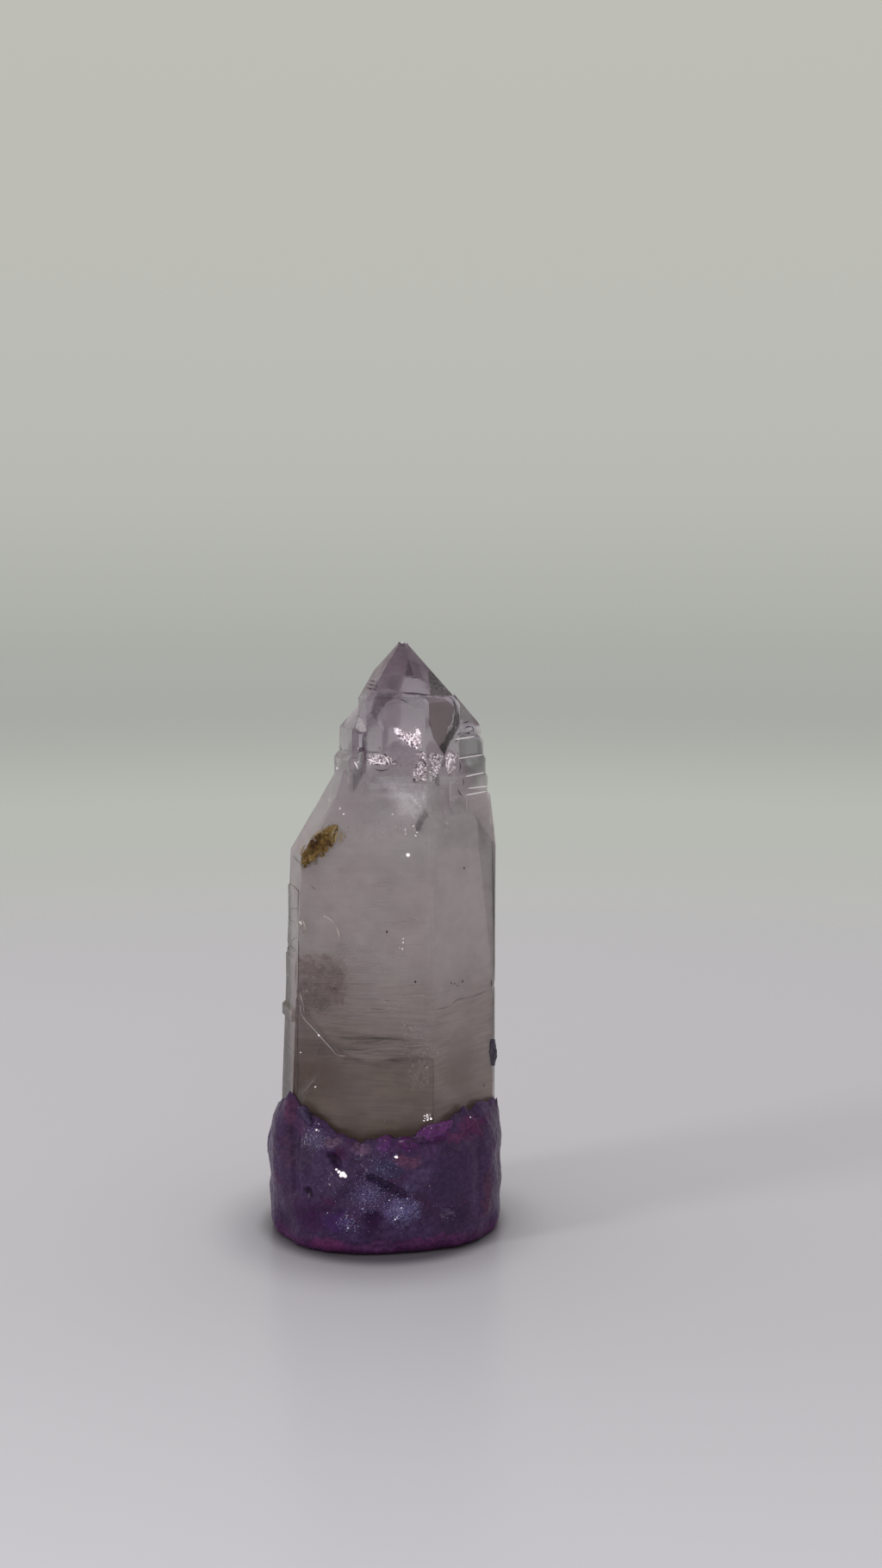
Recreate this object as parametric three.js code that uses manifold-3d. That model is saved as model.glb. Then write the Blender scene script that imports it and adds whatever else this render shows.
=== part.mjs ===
// Amethyst point from Veracruz, standing in a hand-moulded putty foot.
// Millimetres, +Z up, the camera side is -Y, and the origin is under the middle of the foot.

import * as THREE from 'three';
import { mergeVertices } from 'three/addons/utils/BufferGeometryUtils.js';
import Module from 'manifold-3d';

const wasm = await Module();
wasm.setup();

const { degToRad, lerp, clamp, smoothstep } = THREE.MathUtils;

// Quartz form: six prism faces at 60 degrees, and one rhombohedral face above each of them
const FACE_NAMES = ['left', 'front', 'frontRight', 'right', 'back', 'backLeft'];
const FRONT_FACE_TURN = degToRad(-10);
const FACE_STEP = degToRad(60);
const RHOMB_SLOPE = degToRad(51.8);
const RHOMB_RISE = Math.tan(RHOMB_SLOPE);

// Whole crystal
const APEX = new THREE.Vector3(1.75, -1.73, 65.2);
const APEX_BLUNT_HEIGHT = 64.95;
const APEX_BLUNT_DIRECTION = new THREE.Vector3(0.12, 0.05, 0.99).normalize();
const ROUGH_BLOCK = [60, 60, 160];
const CRYSTAL_FOOT = 3.0;
const STEM_FOOT = 13.0;
const TAPER_HEIGHT = 15;
const LEFT_TAPER = degToRad(2.4);

// A prism face's distance from the axis, the height of its upper edge, and the slope of the face above it
const STEEP_SLOPE = degToRad(63);
const BODY = {
    left: { reach: 11.2, edge: 42.6, slope: STEEP_SLOPE },
    front: { reach: 6.68, edge: 49.0 },
    frontRight: { reach: 8.84, edge: 46.2 },
    right: { reach: 11.3, edge: 42.8 },
    back: { reach: 8.31, edge: 46.5 },
    backLeft: { reach: 8.45, edge: 42.5, slope: STEEP_SLOPE },
};
// The head's sloping faces pass through the apex, or this far above it
const HEAD_REACH = { left: 3.64, front: 5.86, frontRight: 7.68, right: 6.71, back: 3.29, backLeft: 0.17 };
const HEAD_LIFT = { left: 0, front: 0, frontRight: 0.3, right: 0.45, back: 0.1, backLeft: 0.15 };
const HIDDEN_FACE = { reach: 1.2, edge: 55.5 };
const LEFT_WING_LOW = {
    left: { reach: 5.35, edge: 52.6 },
    front: { reach: 6.3, edge: 51.8 },
    back: { reach: 3.2, edge: 52.9 },
    backLeft: { reach: 4.05, edge: 52.9 },
};
const LEFT_WING_HIGH = {
    left: { reach: 4.85, edge: 55.9 },
    front: { reach: 5.4, edge: 56.2 },
    back: { reach: 3.0, edge: 56.0 },
    backLeft: { reach: 3.6, edge: 55.7 },
};
const RIGHT_WING = {
    front: { reach: 2.6, edge: 55.7 },
    frontRight: { reach: 7.2, edge: 56.4 },
    right: { reach: 10.15, edge: 55.6 },
    back: { reach: 3.0, edge: 55.8 },
};
const FRONT_SHELF = {
    left: { reach: 3.9, edge: 50.4 },
    front: { reach: 6.2, edge: 50.3 },
    frontRight: { reach: 7.75, edge: 50.3 },
    right: { reach: 6.9, edge: 50.3 },
};
const BACK_SHELF = {
    left: { reach: 4.6, edge: 48.6 },
    right: { reach: 8.4, edge: 48.8 },
    back: { reach: 6.2, edge: 50.2 },
    backLeft: { reach: 4.9, edge: 49.0 },
};

// Ledges that step out down the right wing
const RIGHT_LEDGES = 4;
const RIGHT_LEDGE_TOP = 54.6;
const RIGHT_LEDGE_DROP = 2.02;
const RIGHT_LEDGE_WIDTH = 0.2;
const RIGHT_LEDGE_FRONT_SHARE = 1.25;
const RIGHT_LEDGE_TILT = 0.3;

// Low scales along the left edge of the prism, and how far they lie inside its front and back
const SCALE_FRONT_INSET = 0.6;
const SCALE_BACK_INSET = 3;
const EDGE_SCALES = [
    { foot: 33.6, top: 38.6, lift: 0.14 },
    { foot: 22.6, top: 31.0, lift: 0.12 },
    { foot: 24.2, top: 25.3, lift: 0.3 },
];

// The lower front face lies a little deeper, below this line: along the face from its middle, and up
const SUNKEN_FRONT = [[-14, 31], [-9.0, 27.8], [-8.2, 26.6], [-5.6, 23.2], [-3.1, 20.8], [0.6, 20.5],
    [3.2, 21.3], [8.5, 20.9], [8.5, 2], [-14, 2]];
const SUNKEN_DEPTH = 0.14;

// Bundles of level striations on the front face: middle along the face and up, reach, and how many
const STRIATION_BUNDLES = [
    { along: 0.6, up: 22.1, spread: 2.4, length: 6.4, count: 5, gap: 0.62 },
    { along: -3.4, up: 29.4, spread: 1.6, length: 4.6, count: 4, gap: 0.66 },
];
const STRIATION_HEIGHT = 0.26;
const STRIATION_LIFT = 0.06;
const PLATE_ROOT = 1;

// Chips and scars that are broken out of the crystal: middle, half sizes and turn in degrees
const CHIPS = [
    { at: [-11.3, -0.9, 32.0], size: [0.6, 1.3, 0.6], turn: [20, 10, 35] },
    { at: [-10.9, -1.7, 41.3], size: [0.7, 1.1, 0.9], turn: [35, 25, 10] },
    { at: [-7.6, -5.85, 43.2], size: [2.1, 0.75, 0.75], turn: [0, -45, -10] },
    { at: [-6.3, -5.95, 45.0], size: [0.8, 0.5, 0.6], turn: [15, -30, 20] },
    { at: [-3.5, -4.6, 57.2], size: [1.2, 0.9, 0.8], turn: [15, -35, 25] },
    { at: [-2.7, -3.5, 60.1], size: [0.4, 0.7, 0.4], turn: [40, 15, 5] },
    { at: [8.9, -1.2, 58.3], size: [0.6, 0.8, 0.6], turn: [15, 40, -10] },
    { at: [12.1, 0.4, 27.2], size: [0.4, 0.9, 0.6], turn: [10, 20, 30] },
    { at: [4.4, 3.8, 58.8], size: [1.5, 1.1, 0.9], turn: [30, 5, 15] },
    { at: [10.1, 6.7, 30.0], size: [0.9, 0.8, 2.6], turn: [5, 8, 30] },
    { at: [-3.4, 9.2, 21.0], size: [1.4, 0.8, 2.2], turn: [8, 12, 40] },
    { at: [-7.9, 4.4, 39.0], size: [1.6, 0.9, 1.2], turn: [20, 30, 50] },
];

// Putty foot
const FOOT_OUTLINE = [[-13.1, 0.4], [-12.4, -3.9], [-10.4, -6.9], [-7.2, -9.2], [-2.5, -10.0],
    [3.0, -9.5], [8.0, -7.8], [11.3, -5.1], [12.65, -0.4], [12.3, 4.4], [9.9, 8.3], [4.9, 10.2],
    [-1.0, 10.5], [-7.0, 8.9], [-11.3, 5.2]];
const POCKET_GAP = 0.3;
const LIP_THICKNESS = 0.3;
const CORNER_SHARPNESS = 36;
const FOOT_EDGE_RADIUS = 1.5;
const FOOT_EDGE_INSET = 0.75;
const BULGE_HEIGHT = 0.55;
const LIP_CURL = 2.4;
const WALL_SETTLES_FROM = 0.6;
const OUTLINE_SAMPLES = 360;
const BASE_COLUMNS = 132;
const WALL_ROWS = 20;
const EDGE_ROWS = 4;

// Height of the putty's lip, at angles round the foot from +X, in degrees, and its small tears
const LIP_HEIGHTS = [[-178, 13.8], [-170, 14.6], [-162, 15.6], [-152, 15.4], [-143, 14.3], [-132, 12.8],
    [-121, 12.1], [-108, 11.7], [-98, 12.2], [-90, 12.5], [-72, 12.4], [-62, 13.3], [-55, 13.9], [-47, 13.7],
    [-36, 14.5], [-20, 15.0], [-4, 14.3], [12, 13.4], [34, 12.5], [58, 13.4], [84, 12.1],
    [110, 13.1], [136, 12.1], [158, 13.2]];
const LIP_TEAR = 0.14;
const TEAR_WAVES = [23, 37];
const TEAR_SHARPNESS = 8;
const LIP_CENTRE_HEIGHT = 11;

// Dents and lumps in the putty: place on the wall, spread along and up, depth (a lump is minus) and slant
const PUTTY_MARKS = [
    { angle: -122, height: 9.4, along: 1.5, up: 0.75, depth: 0.6, slant: -0.2 },
    { angle: -119, height: 7.6, along: 1.3, up: 0.8, depth: -0.45, slant: -0.3 },
    { angle: -98, height: 6.6, along: 2.7, up: 0.75, depth: 0.5, slant: -0.28 },
    { angle: -113, height: 5.6, along: 0.8, up: 1.5, depth: 0.45, slant: 0 },
    { angle: -101, height: 4.2, along: 2.6, up: 1.6, depth: -0.35, slant: 0 },
    { angle: -80, height: 4.6, along: 2.2, up: 1.5, depth: -0.3, slant: 0.2 },
    { angle: -147, height: 11.2, along: 0.8, up: 3.2, depth: 0.5, slant: 0 },
    { angle: -158, height: 9.0, along: 1.6, up: 3.6, depth: -0.3, slant: 0 },
    { angle: -130, height: 3.8, along: 2.2, up: 1.6, depth: 0.35, slant: 0.3 },
    { angle: -30, height: 8.6, along: 1.0, up: 4.2, depth: 0.3, slant: 0.1 },
    { angle: -12, height: 8.2, along: 1.4, up: 1.2, depth: 0.3, slant: 0 },
    { angle: -55, height: 10.4, along: 2.6, up: 1.2, depth: -0.25, slant: 0.35 },
    { angle: 178, height: 6.0, along: 2.4, up: 0.8, depth: 0.32, slant: 0.1 },
    { angle: 40, height: 7.2, along: 2.6, up: 2.2, depth: 0.45, slant: 0.2 },
    { angle: 78, height: 6.4, along: 2.8, up: 2.6, depth: 0.5, slant: -0.2 },
    { angle: 118, height: 8.0, along: 2.2, up: 2.4, depth: 0.45, slant: 0.3 },
    { angle: 96, height: 3.2, along: 4.2, up: 1.2, depth: -0.35, slant: 0 },
    { angle: 150, height: 9.4, along: 0.9, up: 2.8, depth: 0.45, slant: 0.2 },
];
const RIPPLE_DEPTH = 0.12;

// Moves the crystal's axis so that the origin is under the middle of the foot's box
const AXIS_PLACE = [0.187, -0.189, 0];

const AMETHYST_COLOUR = 0xa79ba8;
const PUTTY_COLOUR = 0x4a2560;

/** Outward direction of a prism face, level with the ground. */
function faceDirection(index) {
    const turn = FRONT_FACE_TURN + FACE_STEP * (index - 1);
    return new THREE.Vector3(Math.sin(turn), -Math.cos(turn), 0);
}

/** A manifold solid from a closed three.js geometry. */
function toSolid(geometry) {
    geometry.deleteAttribute('normal');
    geometry.deleteAttribute('uv');
    const merged = mergeVertices(geometry, 1e-5);
    return new wasm.Manifold(new wasm.Mesh({
        numProp: 3,
        vertProperties: new Float32Array(merged.attributes.position.array),
        triVerts: new Uint32Array(merged.index.array),
    }));
}

/** A flat-shaded three.js geometry from a manifold solid. */
function toGeometry(solid) {
    const mesh = solid.getMesh();
    const indexed = new THREE.BufferGeometry();
    indexed.setAttribute('position', new THREE.BufferAttribute(new Float32Array(mesh.vertProperties), 3));
    indexed.setIndex(new THREE.BufferAttribute(new Uint32Array(mesh.triVerts), 1));
    const flat = indexed.toNonIndexed();
    flat.computeVertexNormals();
    return flat;
}

/** What is left of a solid behind the plane through a point with this outward direction. */
function trimmed(solid, outward, point) {
    return solid.trimByPlane(outward.clone().negate().toArray(), -outward.dot(point));
}

/** Outward direction of the sloping face above a prism face. */
function slopeDirection(index, slope = RHOMB_SLOPE) {
    return faceDirection(index).multiplyScalar(Math.sin(slope)).setZ(Math.cos(slope));
}

/** One block of growth, with prism faces, sloping faces above them and a level foot. */
function growthBlock(faces, foot, leftTaper = 0, spare = 0) {
    let block = toSolid(new THREE.BoxGeometry(...ROUGH_BLOCK));
    FACE_NAMES.forEach((name, index) => {
        const { reach, edge, slope } = faces[name] ?? HIDDEN_FACE;
        const outward = faceDirection(index);
        const taper = name === 'left' || name === 'backLeft' ? Math.tan(leftTaper) : 0;
        const onFace = outward.clone().multiplyScalar(reach + spare).setZ(TAPER_HEIGHT);
        const edgeReach = reach + spare - taper * (edge - TAPER_HEIGHT);
        const onEdge = outward.clone().multiplyScalar(edgeReach).setZ(edge);
        block = trimmed(block, outward, onFace);
        block = trimmed(block, outward.clone().setZ(taper).normalize(), onFace);
        block = trimmed(block, slopeDirection(index, slope), onEdge);
    });
    return trimmed(block, new THREE.Vector3(0, 0, -1), new THREE.Vector3(0, 0, foot));
}

/** The blocks that make the ledges of the right wing, each a little wider and lower than the last. */
function rightLedges(foot) {
    const ledges = [];
    for (let i = 0; i < RIGHT_LEDGES; i += 1) {
        const out = RIGHT_LEDGE_WIDTH * (i + 1);
        const top = RIGHT_LEDGE_TOP - RIGHT_LEDGE_DROP * i;
        ledges.push(growthBlock({
            front: { reach: RIGHT_WING.front.reach, edge: top },
            frontRight: { reach: RIGHT_WING.frontRight.reach + out * RIGHT_LEDGE_FRONT_SHARE, edge: top },
            right: { reach: RIGHT_WING.right.reach + out, edge: top - RIGHT_LEDGE_TILT },
            back: { reach: RIGHT_WING.back.reach, edge: top },
        }, foot));
    }
    return ledges;
}

/** The head's faces: its rhombohedral faces all pass through the apex. */
function headFaces() {
    const faces = {};
    FACE_NAMES.forEach((name, index) => {
        const reach = HEAD_REACH[name];
        const fromApex = reach - faceDirection(index).dot(APEX);
        faces[name] = { reach, edge: APEX.z + HEAD_LIFT[name] - RHOMB_RISE * fromApex };
    });
    return faces;
}

/** A low flat plate standing on a prism face, from an outline of [along, up] points. */
function platePatch(faceIndex, reach, outline, lift) {
    const shape = new THREE.Shape(outline.map(([along, up]) => new THREE.Vector2(along, up)));
    const plate = new THREE.ExtrudeGeometry(shape, { depth: PLATE_ROOT + lift, bevelEnabled: false });
    const outward = faceDirection(faceIndex);
    const along = new THREE.Vector3(-outward.y, outward.x, 0);
    const place = new THREE.Matrix4().makeBasis(along, new THREE.Vector3(0, 0, 1), outward);
    place.setPosition(outward.multiplyScalar(reach - PLATE_ROOT));
    plate.applyMatrix4(place);
    return toSolid(plate);
}

/** Lens-shaped outline of one striation. */
function striationOutline(along, up, length) {
    const half = STRIATION_HEIGHT / 2;
    return [[along - length / 2, up], [along - length / 5, up - half], [along + length / 4, up - half * 0.7],
        [along + length / 2, up + half * 0.2], [along, up + half]];
}

/** The striations of every bundle, each one shifted a little along the face. */
function striations() {
    return STRIATION_BUNDLES.flatMap(({ along, up, spread, length, count, gap }) => {
        const ridges = [];
        for (let i = 0; i < count; i += 1) {
            const middle = along + spread * Math.sin(i * 2.4);
            const ownLength = length * (1 + 0.3 * Math.cos(i * 1.7));
            const outline = striationOutline(middle, up + gap * (i - count / 2), ownLength);
            ridges.push(platePatch(FACE_NAMES.indexOf('front'), BODY.front.reach, outline, STRIATION_LIFT));
        }
        return ridges;
    });
}

/** A shape with a few flat faces, for one chip. */
function chipSolid({ at, size, turn }) {
    const chip = new THREE.IcosahedronGeometry(1, 0);
    const angles = turn.map(degToRad);
    const rotation = new THREE.Quaternion().setFromEuler(new THREE.Euler(...angles));
    const place = new THREE.Matrix4().compose(new THREE.Vector3(...at), rotation, new THREE.Vector3(...size));
    chip.applyMatrix4(place);
    return toSolid(chip);
}

/** The low scales that roughen the prism's left edge. */
function edgeScales() {
    return EDGE_SCALES.map(({ foot, top, lift }) => {
        const drop = (top - TAPER_HEIGHT) * Math.tan(LEFT_TAPER);
        return growthBlock({
            left: { reach: BODY.left.reach - drop + lift, edge: top },
            front: { reach: BODY.front.reach - SCALE_FRONT_INSET, edge: top + 1 },
            back: { reach: BODY.back.reach - SCALE_BACK_INSET, edge: top + 1 },
            backLeft: { reach: BODY.backLeft.reach - drop + lift, edge: top },
        }, foot);
    });
}

/** The whole crystal as one solid. */
function crystalSolid() {
    let crystal = growthBlock(BODY, CRYSTAL_FOOT, LEFT_TAPER);
    const frontIndex = FACE_NAMES.indexOf('front');
    const sunkenReach = BODY.front.reach + PLATE_ROOT - SUNKEN_DEPTH;
    crystal = crystal.subtract(platePatch(frontIndex, sunkenReach, SUNKEN_FRONT, 0));
    const blocks = [
        ...[headFaces(), LEFT_WING_LOW, LEFT_WING_HIGH, RIGHT_WING, FRONT_SHELF, BACK_SHELF]
            .map((faces) => growthBlock(faces, STEM_FOOT)),
        ...rightLedges(STEM_FOOT),
        ...edgeScales(),
        ...striations(),
    ];
    for (const block of blocks) crystal = crystal.add(block);
    for (const chip of CHIPS) crystal = crystal.subtract(chipSolid(chip));
    return trimmed(crystal, APEX_BLUNT_DIRECTION, APEX.clone().setZ(APEX_BLUNT_HEIGHT));
}

/** Distance from the axis to the crystal's prism in a direction, with its corners a little softened. */
function prismRadius(angle) {
    let sum = 0;
    FACE_NAMES.forEach((name, index) => {
        const outward = faceDirection(index);
        const facing = outward.x * Math.cos(angle) + outward.y * Math.sin(angle);
        if (facing > 0) sum += (facing / BODY[name].reach) ** CORNER_SHARPNESS;
    });
    return sum ** (-1 / CORNER_SHARPNESS);
}

/** A smooth closed function of the angle through [degrees, value] points. */
function roundFunction(points) {
    const count = points.length;
    return (angle) => {
        const degrees = THREE.MathUtils.radToDeg(angle);
        for (let i = 0; i < count; i += 1) {
            const [from, low] = points[i];
            const [to, high] = points[(i + 1) % count];
            const span = (to - from + 360) % 360;
            const past = (degrees - from + 720) % 360;
            if (past <= span) return lerp(low, high, smoothstep(past / span, 0, 1));
        }
        return points[0][1];
    };
}

/** Distance from the axis to the foot's outline in a direction. */
function outlineRadius() {
    const knots = FOOT_OUTLINE.map(([x, y]) => new THREE.Vector3(x, y, 0));
    const curve = new THREE.CatmullRomCurve3(knots, true, 'centripetal');
    const samples = curve.getPoints(OUTLINE_SAMPLES).slice(0, -1).map((p) => ({
        angle: Math.atan2(p.y, p.x), radius: Math.hypot(p.x, p.y),
    }));
    samples.sort((a, b) => a.angle - b.angle);
    return (angle) => {
        const next = samples.findIndex((sample) => sample.angle >= angle);
        const after = samples[Math.max(next, 0)];
        const before = samples[(Math.max(next, 0) + samples.length - 1) % samples.length];
        const span = (after.angle - before.angle + 2 * Math.PI) % (2 * Math.PI);
        const past = (angle - before.angle + 2 * Math.PI) % (2 * Math.PI);
        return lerp(before.radius, after.radius, span > 0 ? clamp(past / span, 0, 1) : 0);
    };
}

/** How far the putty's wall is pressed in at a place on it. */
function puttyDent(angle, height, radius) {
    let dent = RIPPLE_DEPTH * Math.sin(angle * 7 + height * 0.5) * Math.sin(height * 0.8 + angle * 3);
    for (const mark of PUTTY_MARKS) {
        const away = angle - degToRad(mark.angle);
        const along = Math.atan2(Math.sin(away), Math.cos(away)) * radius;
        const up = height - mark.height - mark.slant * along;
        dent += mark.depth * Math.exp(-((along / mark.along) ** 2) - ((up / mark.up) ** 2));
    }
    return dent;
}

/** The putty before the crystal's pocket is cut: a closed skin of rings from the ground to the lip. */
function puttyBlank() {
    const footRadius = outlineRadius();
    const lipHeight = roundFunction(LIP_HEIGHTS);
    const rows = EDGE_ROWS + WALL_ROWS;
    const positions = [0, 0, 0];
    for (let row = 0; row <= rows; row += 1) {
        for (let column = 0; column < BASE_COLUMNS; column += 1) {
            const angle = (column / BASE_COLUMNS) * 2 * Math.PI - Math.PI;
            const [x, y, z] = wallPoint(row, angle, footRadius(angle), lipHeight(angle));
            const tear = LIP_TEAR * (Math.sin(angle * TEAR_WAVES[0]) + Math.sin(angle * TEAR_WAVES[1] + 1));
            positions.push(x, y, z + tear * (row / rows) ** TEAR_SHARPNESS);
        }
    }
    positions.push(0, 0, LIP_CENTRE_HEIGHT);
    return toSolid(ringSkin(positions, rows + 1));
}

/** One point of the putty's skin. Row 0 is on the ground, and the last row is the lip. */
function wallPoint(row, angle, footRadius, lipHeight) {
    if (row <= EDGE_ROWS) {
        const curl = (row / EDGE_ROWS) * (Math.PI / 2);
        const radius = footRadius - FOOT_EDGE_INSET * (1 - Math.sin(curl));
        const height = FOOT_EDGE_RADIUS * (1 - Math.cos(curl));
        const pressed = radius - puttyDent(angle, height, radius) * Math.sin(curl);
        return [pressed * Math.cos(angle), pressed * Math.sin(angle), height];
    }
    const share = (row - EDGE_ROWS) / WALL_ROWS;
    const height = lerp(FOOT_EDGE_RADIUS, lipHeight, share);
    const bulge = lipHeight * BULGE_HEIGHT;
    const lipRadius = prismRadius(angle) + POCKET_GAP + LIP_THICKNESS;
    const climb = clamp((height - bulge) / (lipHeight - bulge), 0, 1);
    const free = lerp(Math.max(footRadius, lipRadius), lipRadius, climb ** LIP_CURL);
    const settled = 1 - smoothstep(climb, WALL_SETTLES_FROM, 1);
    const pressed = free - puttyDent(angle, height, free) * settled;
    return [pressed * Math.cos(angle), pressed * Math.sin(angle), height];
}

/** Closed geometry from a lower middle point, rings of points and an upper middle point. */
function ringSkin(positions, ringCount) {
    const index = [];
    const at = (ring, column) => 1 + ring * BASE_COLUMNS + (column % BASE_COLUMNS);
    const top = 1 + ringCount * BASE_COLUMNS;
    for (let column = 0; column < BASE_COLUMNS; column += 1) {
        index.push(0, at(0, column + 1), at(0, column));
        index.push(top, at(ringCount - 1, column), at(ringCount - 1, column + 1));
        for (let ring = 0; ring + 1 < ringCount; ring += 1) {
            index.push(at(ring, column), at(ring, column + 1), at(ring + 1, column + 1));
            index.push(at(ring, column), at(ring + 1, column + 1), at(ring + 1, column));
        }
    }
    const skin = new THREE.BufferGeometry();
    skin.setAttribute('position', new THREE.Float32BufferAttribute(positions, 3));
    skin.setIndex(index);
    return skin;
}

/** The putty foot, with a pocket that clears the crystal all round. */
function puttySolid() {
    return puttyBlank().subtract(growthBlock(BODY, CRYSTAL_FOOT - POCKET_GAP, LEFT_TAPER, POCKET_GAP));
}

/** A named mesh of one solid. */
function namedMesh(name, solid, finish) {
    const mesh = new THREE.Mesh(toGeometry(solid), new THREE.MeshStandardMaterial(finish));
    mesh.name = name;
    return mesh;
}

const point = new THREE.Group();
point.position.set(...AXIS_PLACE);
point.add(
    namedMesh('amethyst_crystal', crystalSolid(), {
        color: AMETHYST_COLOUR, roughness: 0.12, metalness: 0, transparent: true, opacity: 0.75,
    }),
    namedMesh('putty_base', puttySolid(), { color: PUTTY_COLOUR, roughness: 0.35, metalness: 0.1 }),
);

export default point;
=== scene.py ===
"""Amethyst point standing in a hand-moulded putty foot: the finished look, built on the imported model."""

import math
import random

import bpy
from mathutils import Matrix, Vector


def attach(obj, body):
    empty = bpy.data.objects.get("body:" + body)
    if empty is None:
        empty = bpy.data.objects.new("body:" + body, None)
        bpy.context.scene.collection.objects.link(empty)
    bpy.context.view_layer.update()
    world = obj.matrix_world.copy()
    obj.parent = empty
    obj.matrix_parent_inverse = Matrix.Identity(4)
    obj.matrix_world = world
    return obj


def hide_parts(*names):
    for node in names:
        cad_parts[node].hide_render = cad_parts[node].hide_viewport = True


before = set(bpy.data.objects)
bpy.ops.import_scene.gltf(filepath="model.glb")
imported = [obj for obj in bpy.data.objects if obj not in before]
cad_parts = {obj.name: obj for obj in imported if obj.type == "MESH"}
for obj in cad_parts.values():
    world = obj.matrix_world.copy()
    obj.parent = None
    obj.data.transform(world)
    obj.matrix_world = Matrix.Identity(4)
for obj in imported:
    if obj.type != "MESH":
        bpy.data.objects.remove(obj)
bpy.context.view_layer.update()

MM = 0.001

# The photograph's frame and the camera that fits it
PHOTO_WIDTH_PX = 1024
PHOTO_HEIGHT_PX = 1820
FOCAL_PX = 1900
SENSOR_MM = 36
CAMERA_PLACE = Vector((6.19, -176.69, 72.8)) * MM
CAMERA_PITCH = math.radians(7.5)

# The room by degrees above the horizon: its wall gets lighter upwards and its ground is a cool pale grey
ROOM_TONES = [
    (-90, (0.46, 0.45, 0.49)), (-30, (0.48, 0.47, 0.51)), (-14, (0.49, 0.48, 0.50)),
    (-11.4, (0.488, 0.488, 0.471)), (-9.6, (0.475, 0.483, 0.452)), (-8, (0.470, 0.482, 0.447)),
    (-6.6, (0.431, 0.443, 0.409)), (-5.2, (0.396, 0.407, 0.380)), (-4, (0.397, 0.407, 0.380)),
    (-2, (0.418, 0.426, 0.395)), (1.8, (0.470, 0.476, 0.442)), (8, (0.500, 0.503, 0.465)),
    (18, (0.518, 0.515, 0.468)), (35, (0.55, 0.55, 0.53)), (60, (0.74, 0.74, 0.74)),
    (90, (0.85, 0.85, 0.85)),
]
DIM_SIDE = 0.645
DIM_FROM = -0.9
DIM_TO = 0.35

# The floor in millimetres and its tones: behind, towards the camera, where it is painted lighter, and in
# the foot's two painted shadows
FLOOR_REACH = 300
FLOOR_FADE = 260
FLOOR_BEHIND = (0.80, 0.775, 0.835)
FLOOR_BEFORE = (0.92, 0.90, 0.96)
WIDE_SHADE = ((-1, -0.5, 0), (20.5, 20.5, 9), (0.52, 0.50, 0.555))
CLOSE_SHADE = ((-0.3, -0.4, 0), (14.6, 13.0, 9), (0.18, 0.165, 0.195))

# The one lamp, left of the camera and above it, in metres and watts
LAMP_PLACE = Vector((-0.30, -0.14, 0.22))
LAMP_AIM = Vector((0, 0, 0.03))
LAMP_SIZE = 0.06
LAMP_POWER = 0.22
LAMP_COLOUR = (1, 0.99, 0.97)

# The crystal's axis on the ground, the slope of its upper faces, and how far quartz bends light
AXIS_PLACE = Vector((0.187, -0.189, 0)) * MM
RHOMB_SLOPE = math.radians(51.8)
QUARTZ_IOR = 1.544


def sight_line(pixel):
    """The direction from the camera through a pixel of the photograph."""
    right = (pixel[0] - PHOTO_WIDTH_PX / 2) / FOCAL_PX
    up = (PHOTO_HEIGHT_PX / 2 - pixel[1]) / FOCAL_PX
    cosine, sine = math.cos(CAMERA_PITCH), math.sin(CAMERA_PITCH)
    return Vector((right, cosine + up * sine, up * cosine - sine))


class Face:
    """A flat face of the construction model.

    Its turn from the camera side is in degrees. Its distance from the axis and, if it slopes back, the
    height at which it starts are in millimetres.
    """

    def __init__(self, turn, reach, edge=None):
        self.turn = math.radians(turn)
        self.slope = math.pi / 2 if edge is None else RHOMB_SLOPE
        level = Vector((math.sin(self.turn), -math.cos(self.turn), 0))
        self.normal = level * math.sin(self.slope) + Vector((0, 0, math.cos(self.slope)))
        self.along = Vector((math.cos(self.turn), math.sin(self.turn), 0))
        self.up = self.normal.cross(self.along)
        self.point = AXIS_PLACE + level * reach * MM + Vector((0, 0, (edge or 0) * MM))

    def at(self, pixel, inset=0):
        """Where a pixel's line of sight meets the face, moved in by so many millimetres; in metres."""
        sight = sight_line(pixel)
        away = (self.point - self.normal * inset * MM - CAMERA_PLACE).dot(self.normal)
        return CAMERA_PLACE + sight * (away / sight.dot(self.normal))


class Facet(Face):
    """The flat face of a piece that a pixel's line of sight meets first."""

    def __init__(self, piece, pixel):
        self.point, self.normal = piece.ray_cast(CAMERA_PLACE, sight_line(pixel))[1:3]
        self.turn = math.atan2(self.normal.x, -self.normal.y)
        self.slope = math.acos(self.normal.z)
        self.along = Vector((math.cos(self.turn), math.sin(self.turn), 0))
        self.up = self.normal.cross(self.along)


class Surface:
    """The whole surface of a piece, as the camera sees it."""

    def __init__(self, piece):
        self.piece = piece

    def at(self, pixel, inset=0):
        """Where a pixel's line of sight first meets the piece, in metres; the inset is in millimetres."""
        struck, place, normal = self.piece.ray_cast(CAMERA_PLACE, sight_line(pixel))[:3]
        if not struck:
            place, normal = self.piece.closest_point_on_mesh(FRONT.at(pixel))[1:3]
        return place - normal * inset * MM


# Faces of the construction model, by their turn, distance and starting height
FRONT = Face(-10, 6.68)
FRONT_RIGHT = Face(50, 8.84)
HEAD_FRONT = Face(-10, 5.86)
HEAD_RIGHT = Face(50, 7.68)
TIP_FRONT = Face(-10, 5.86, 59.53)
TIP_RIGHT = Face(50, 7.68, 58.86)
LEFT_WING = Face(-10, 5.4)
RIGHT_WING = Face(50, 7.45)


# Ways of working

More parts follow.
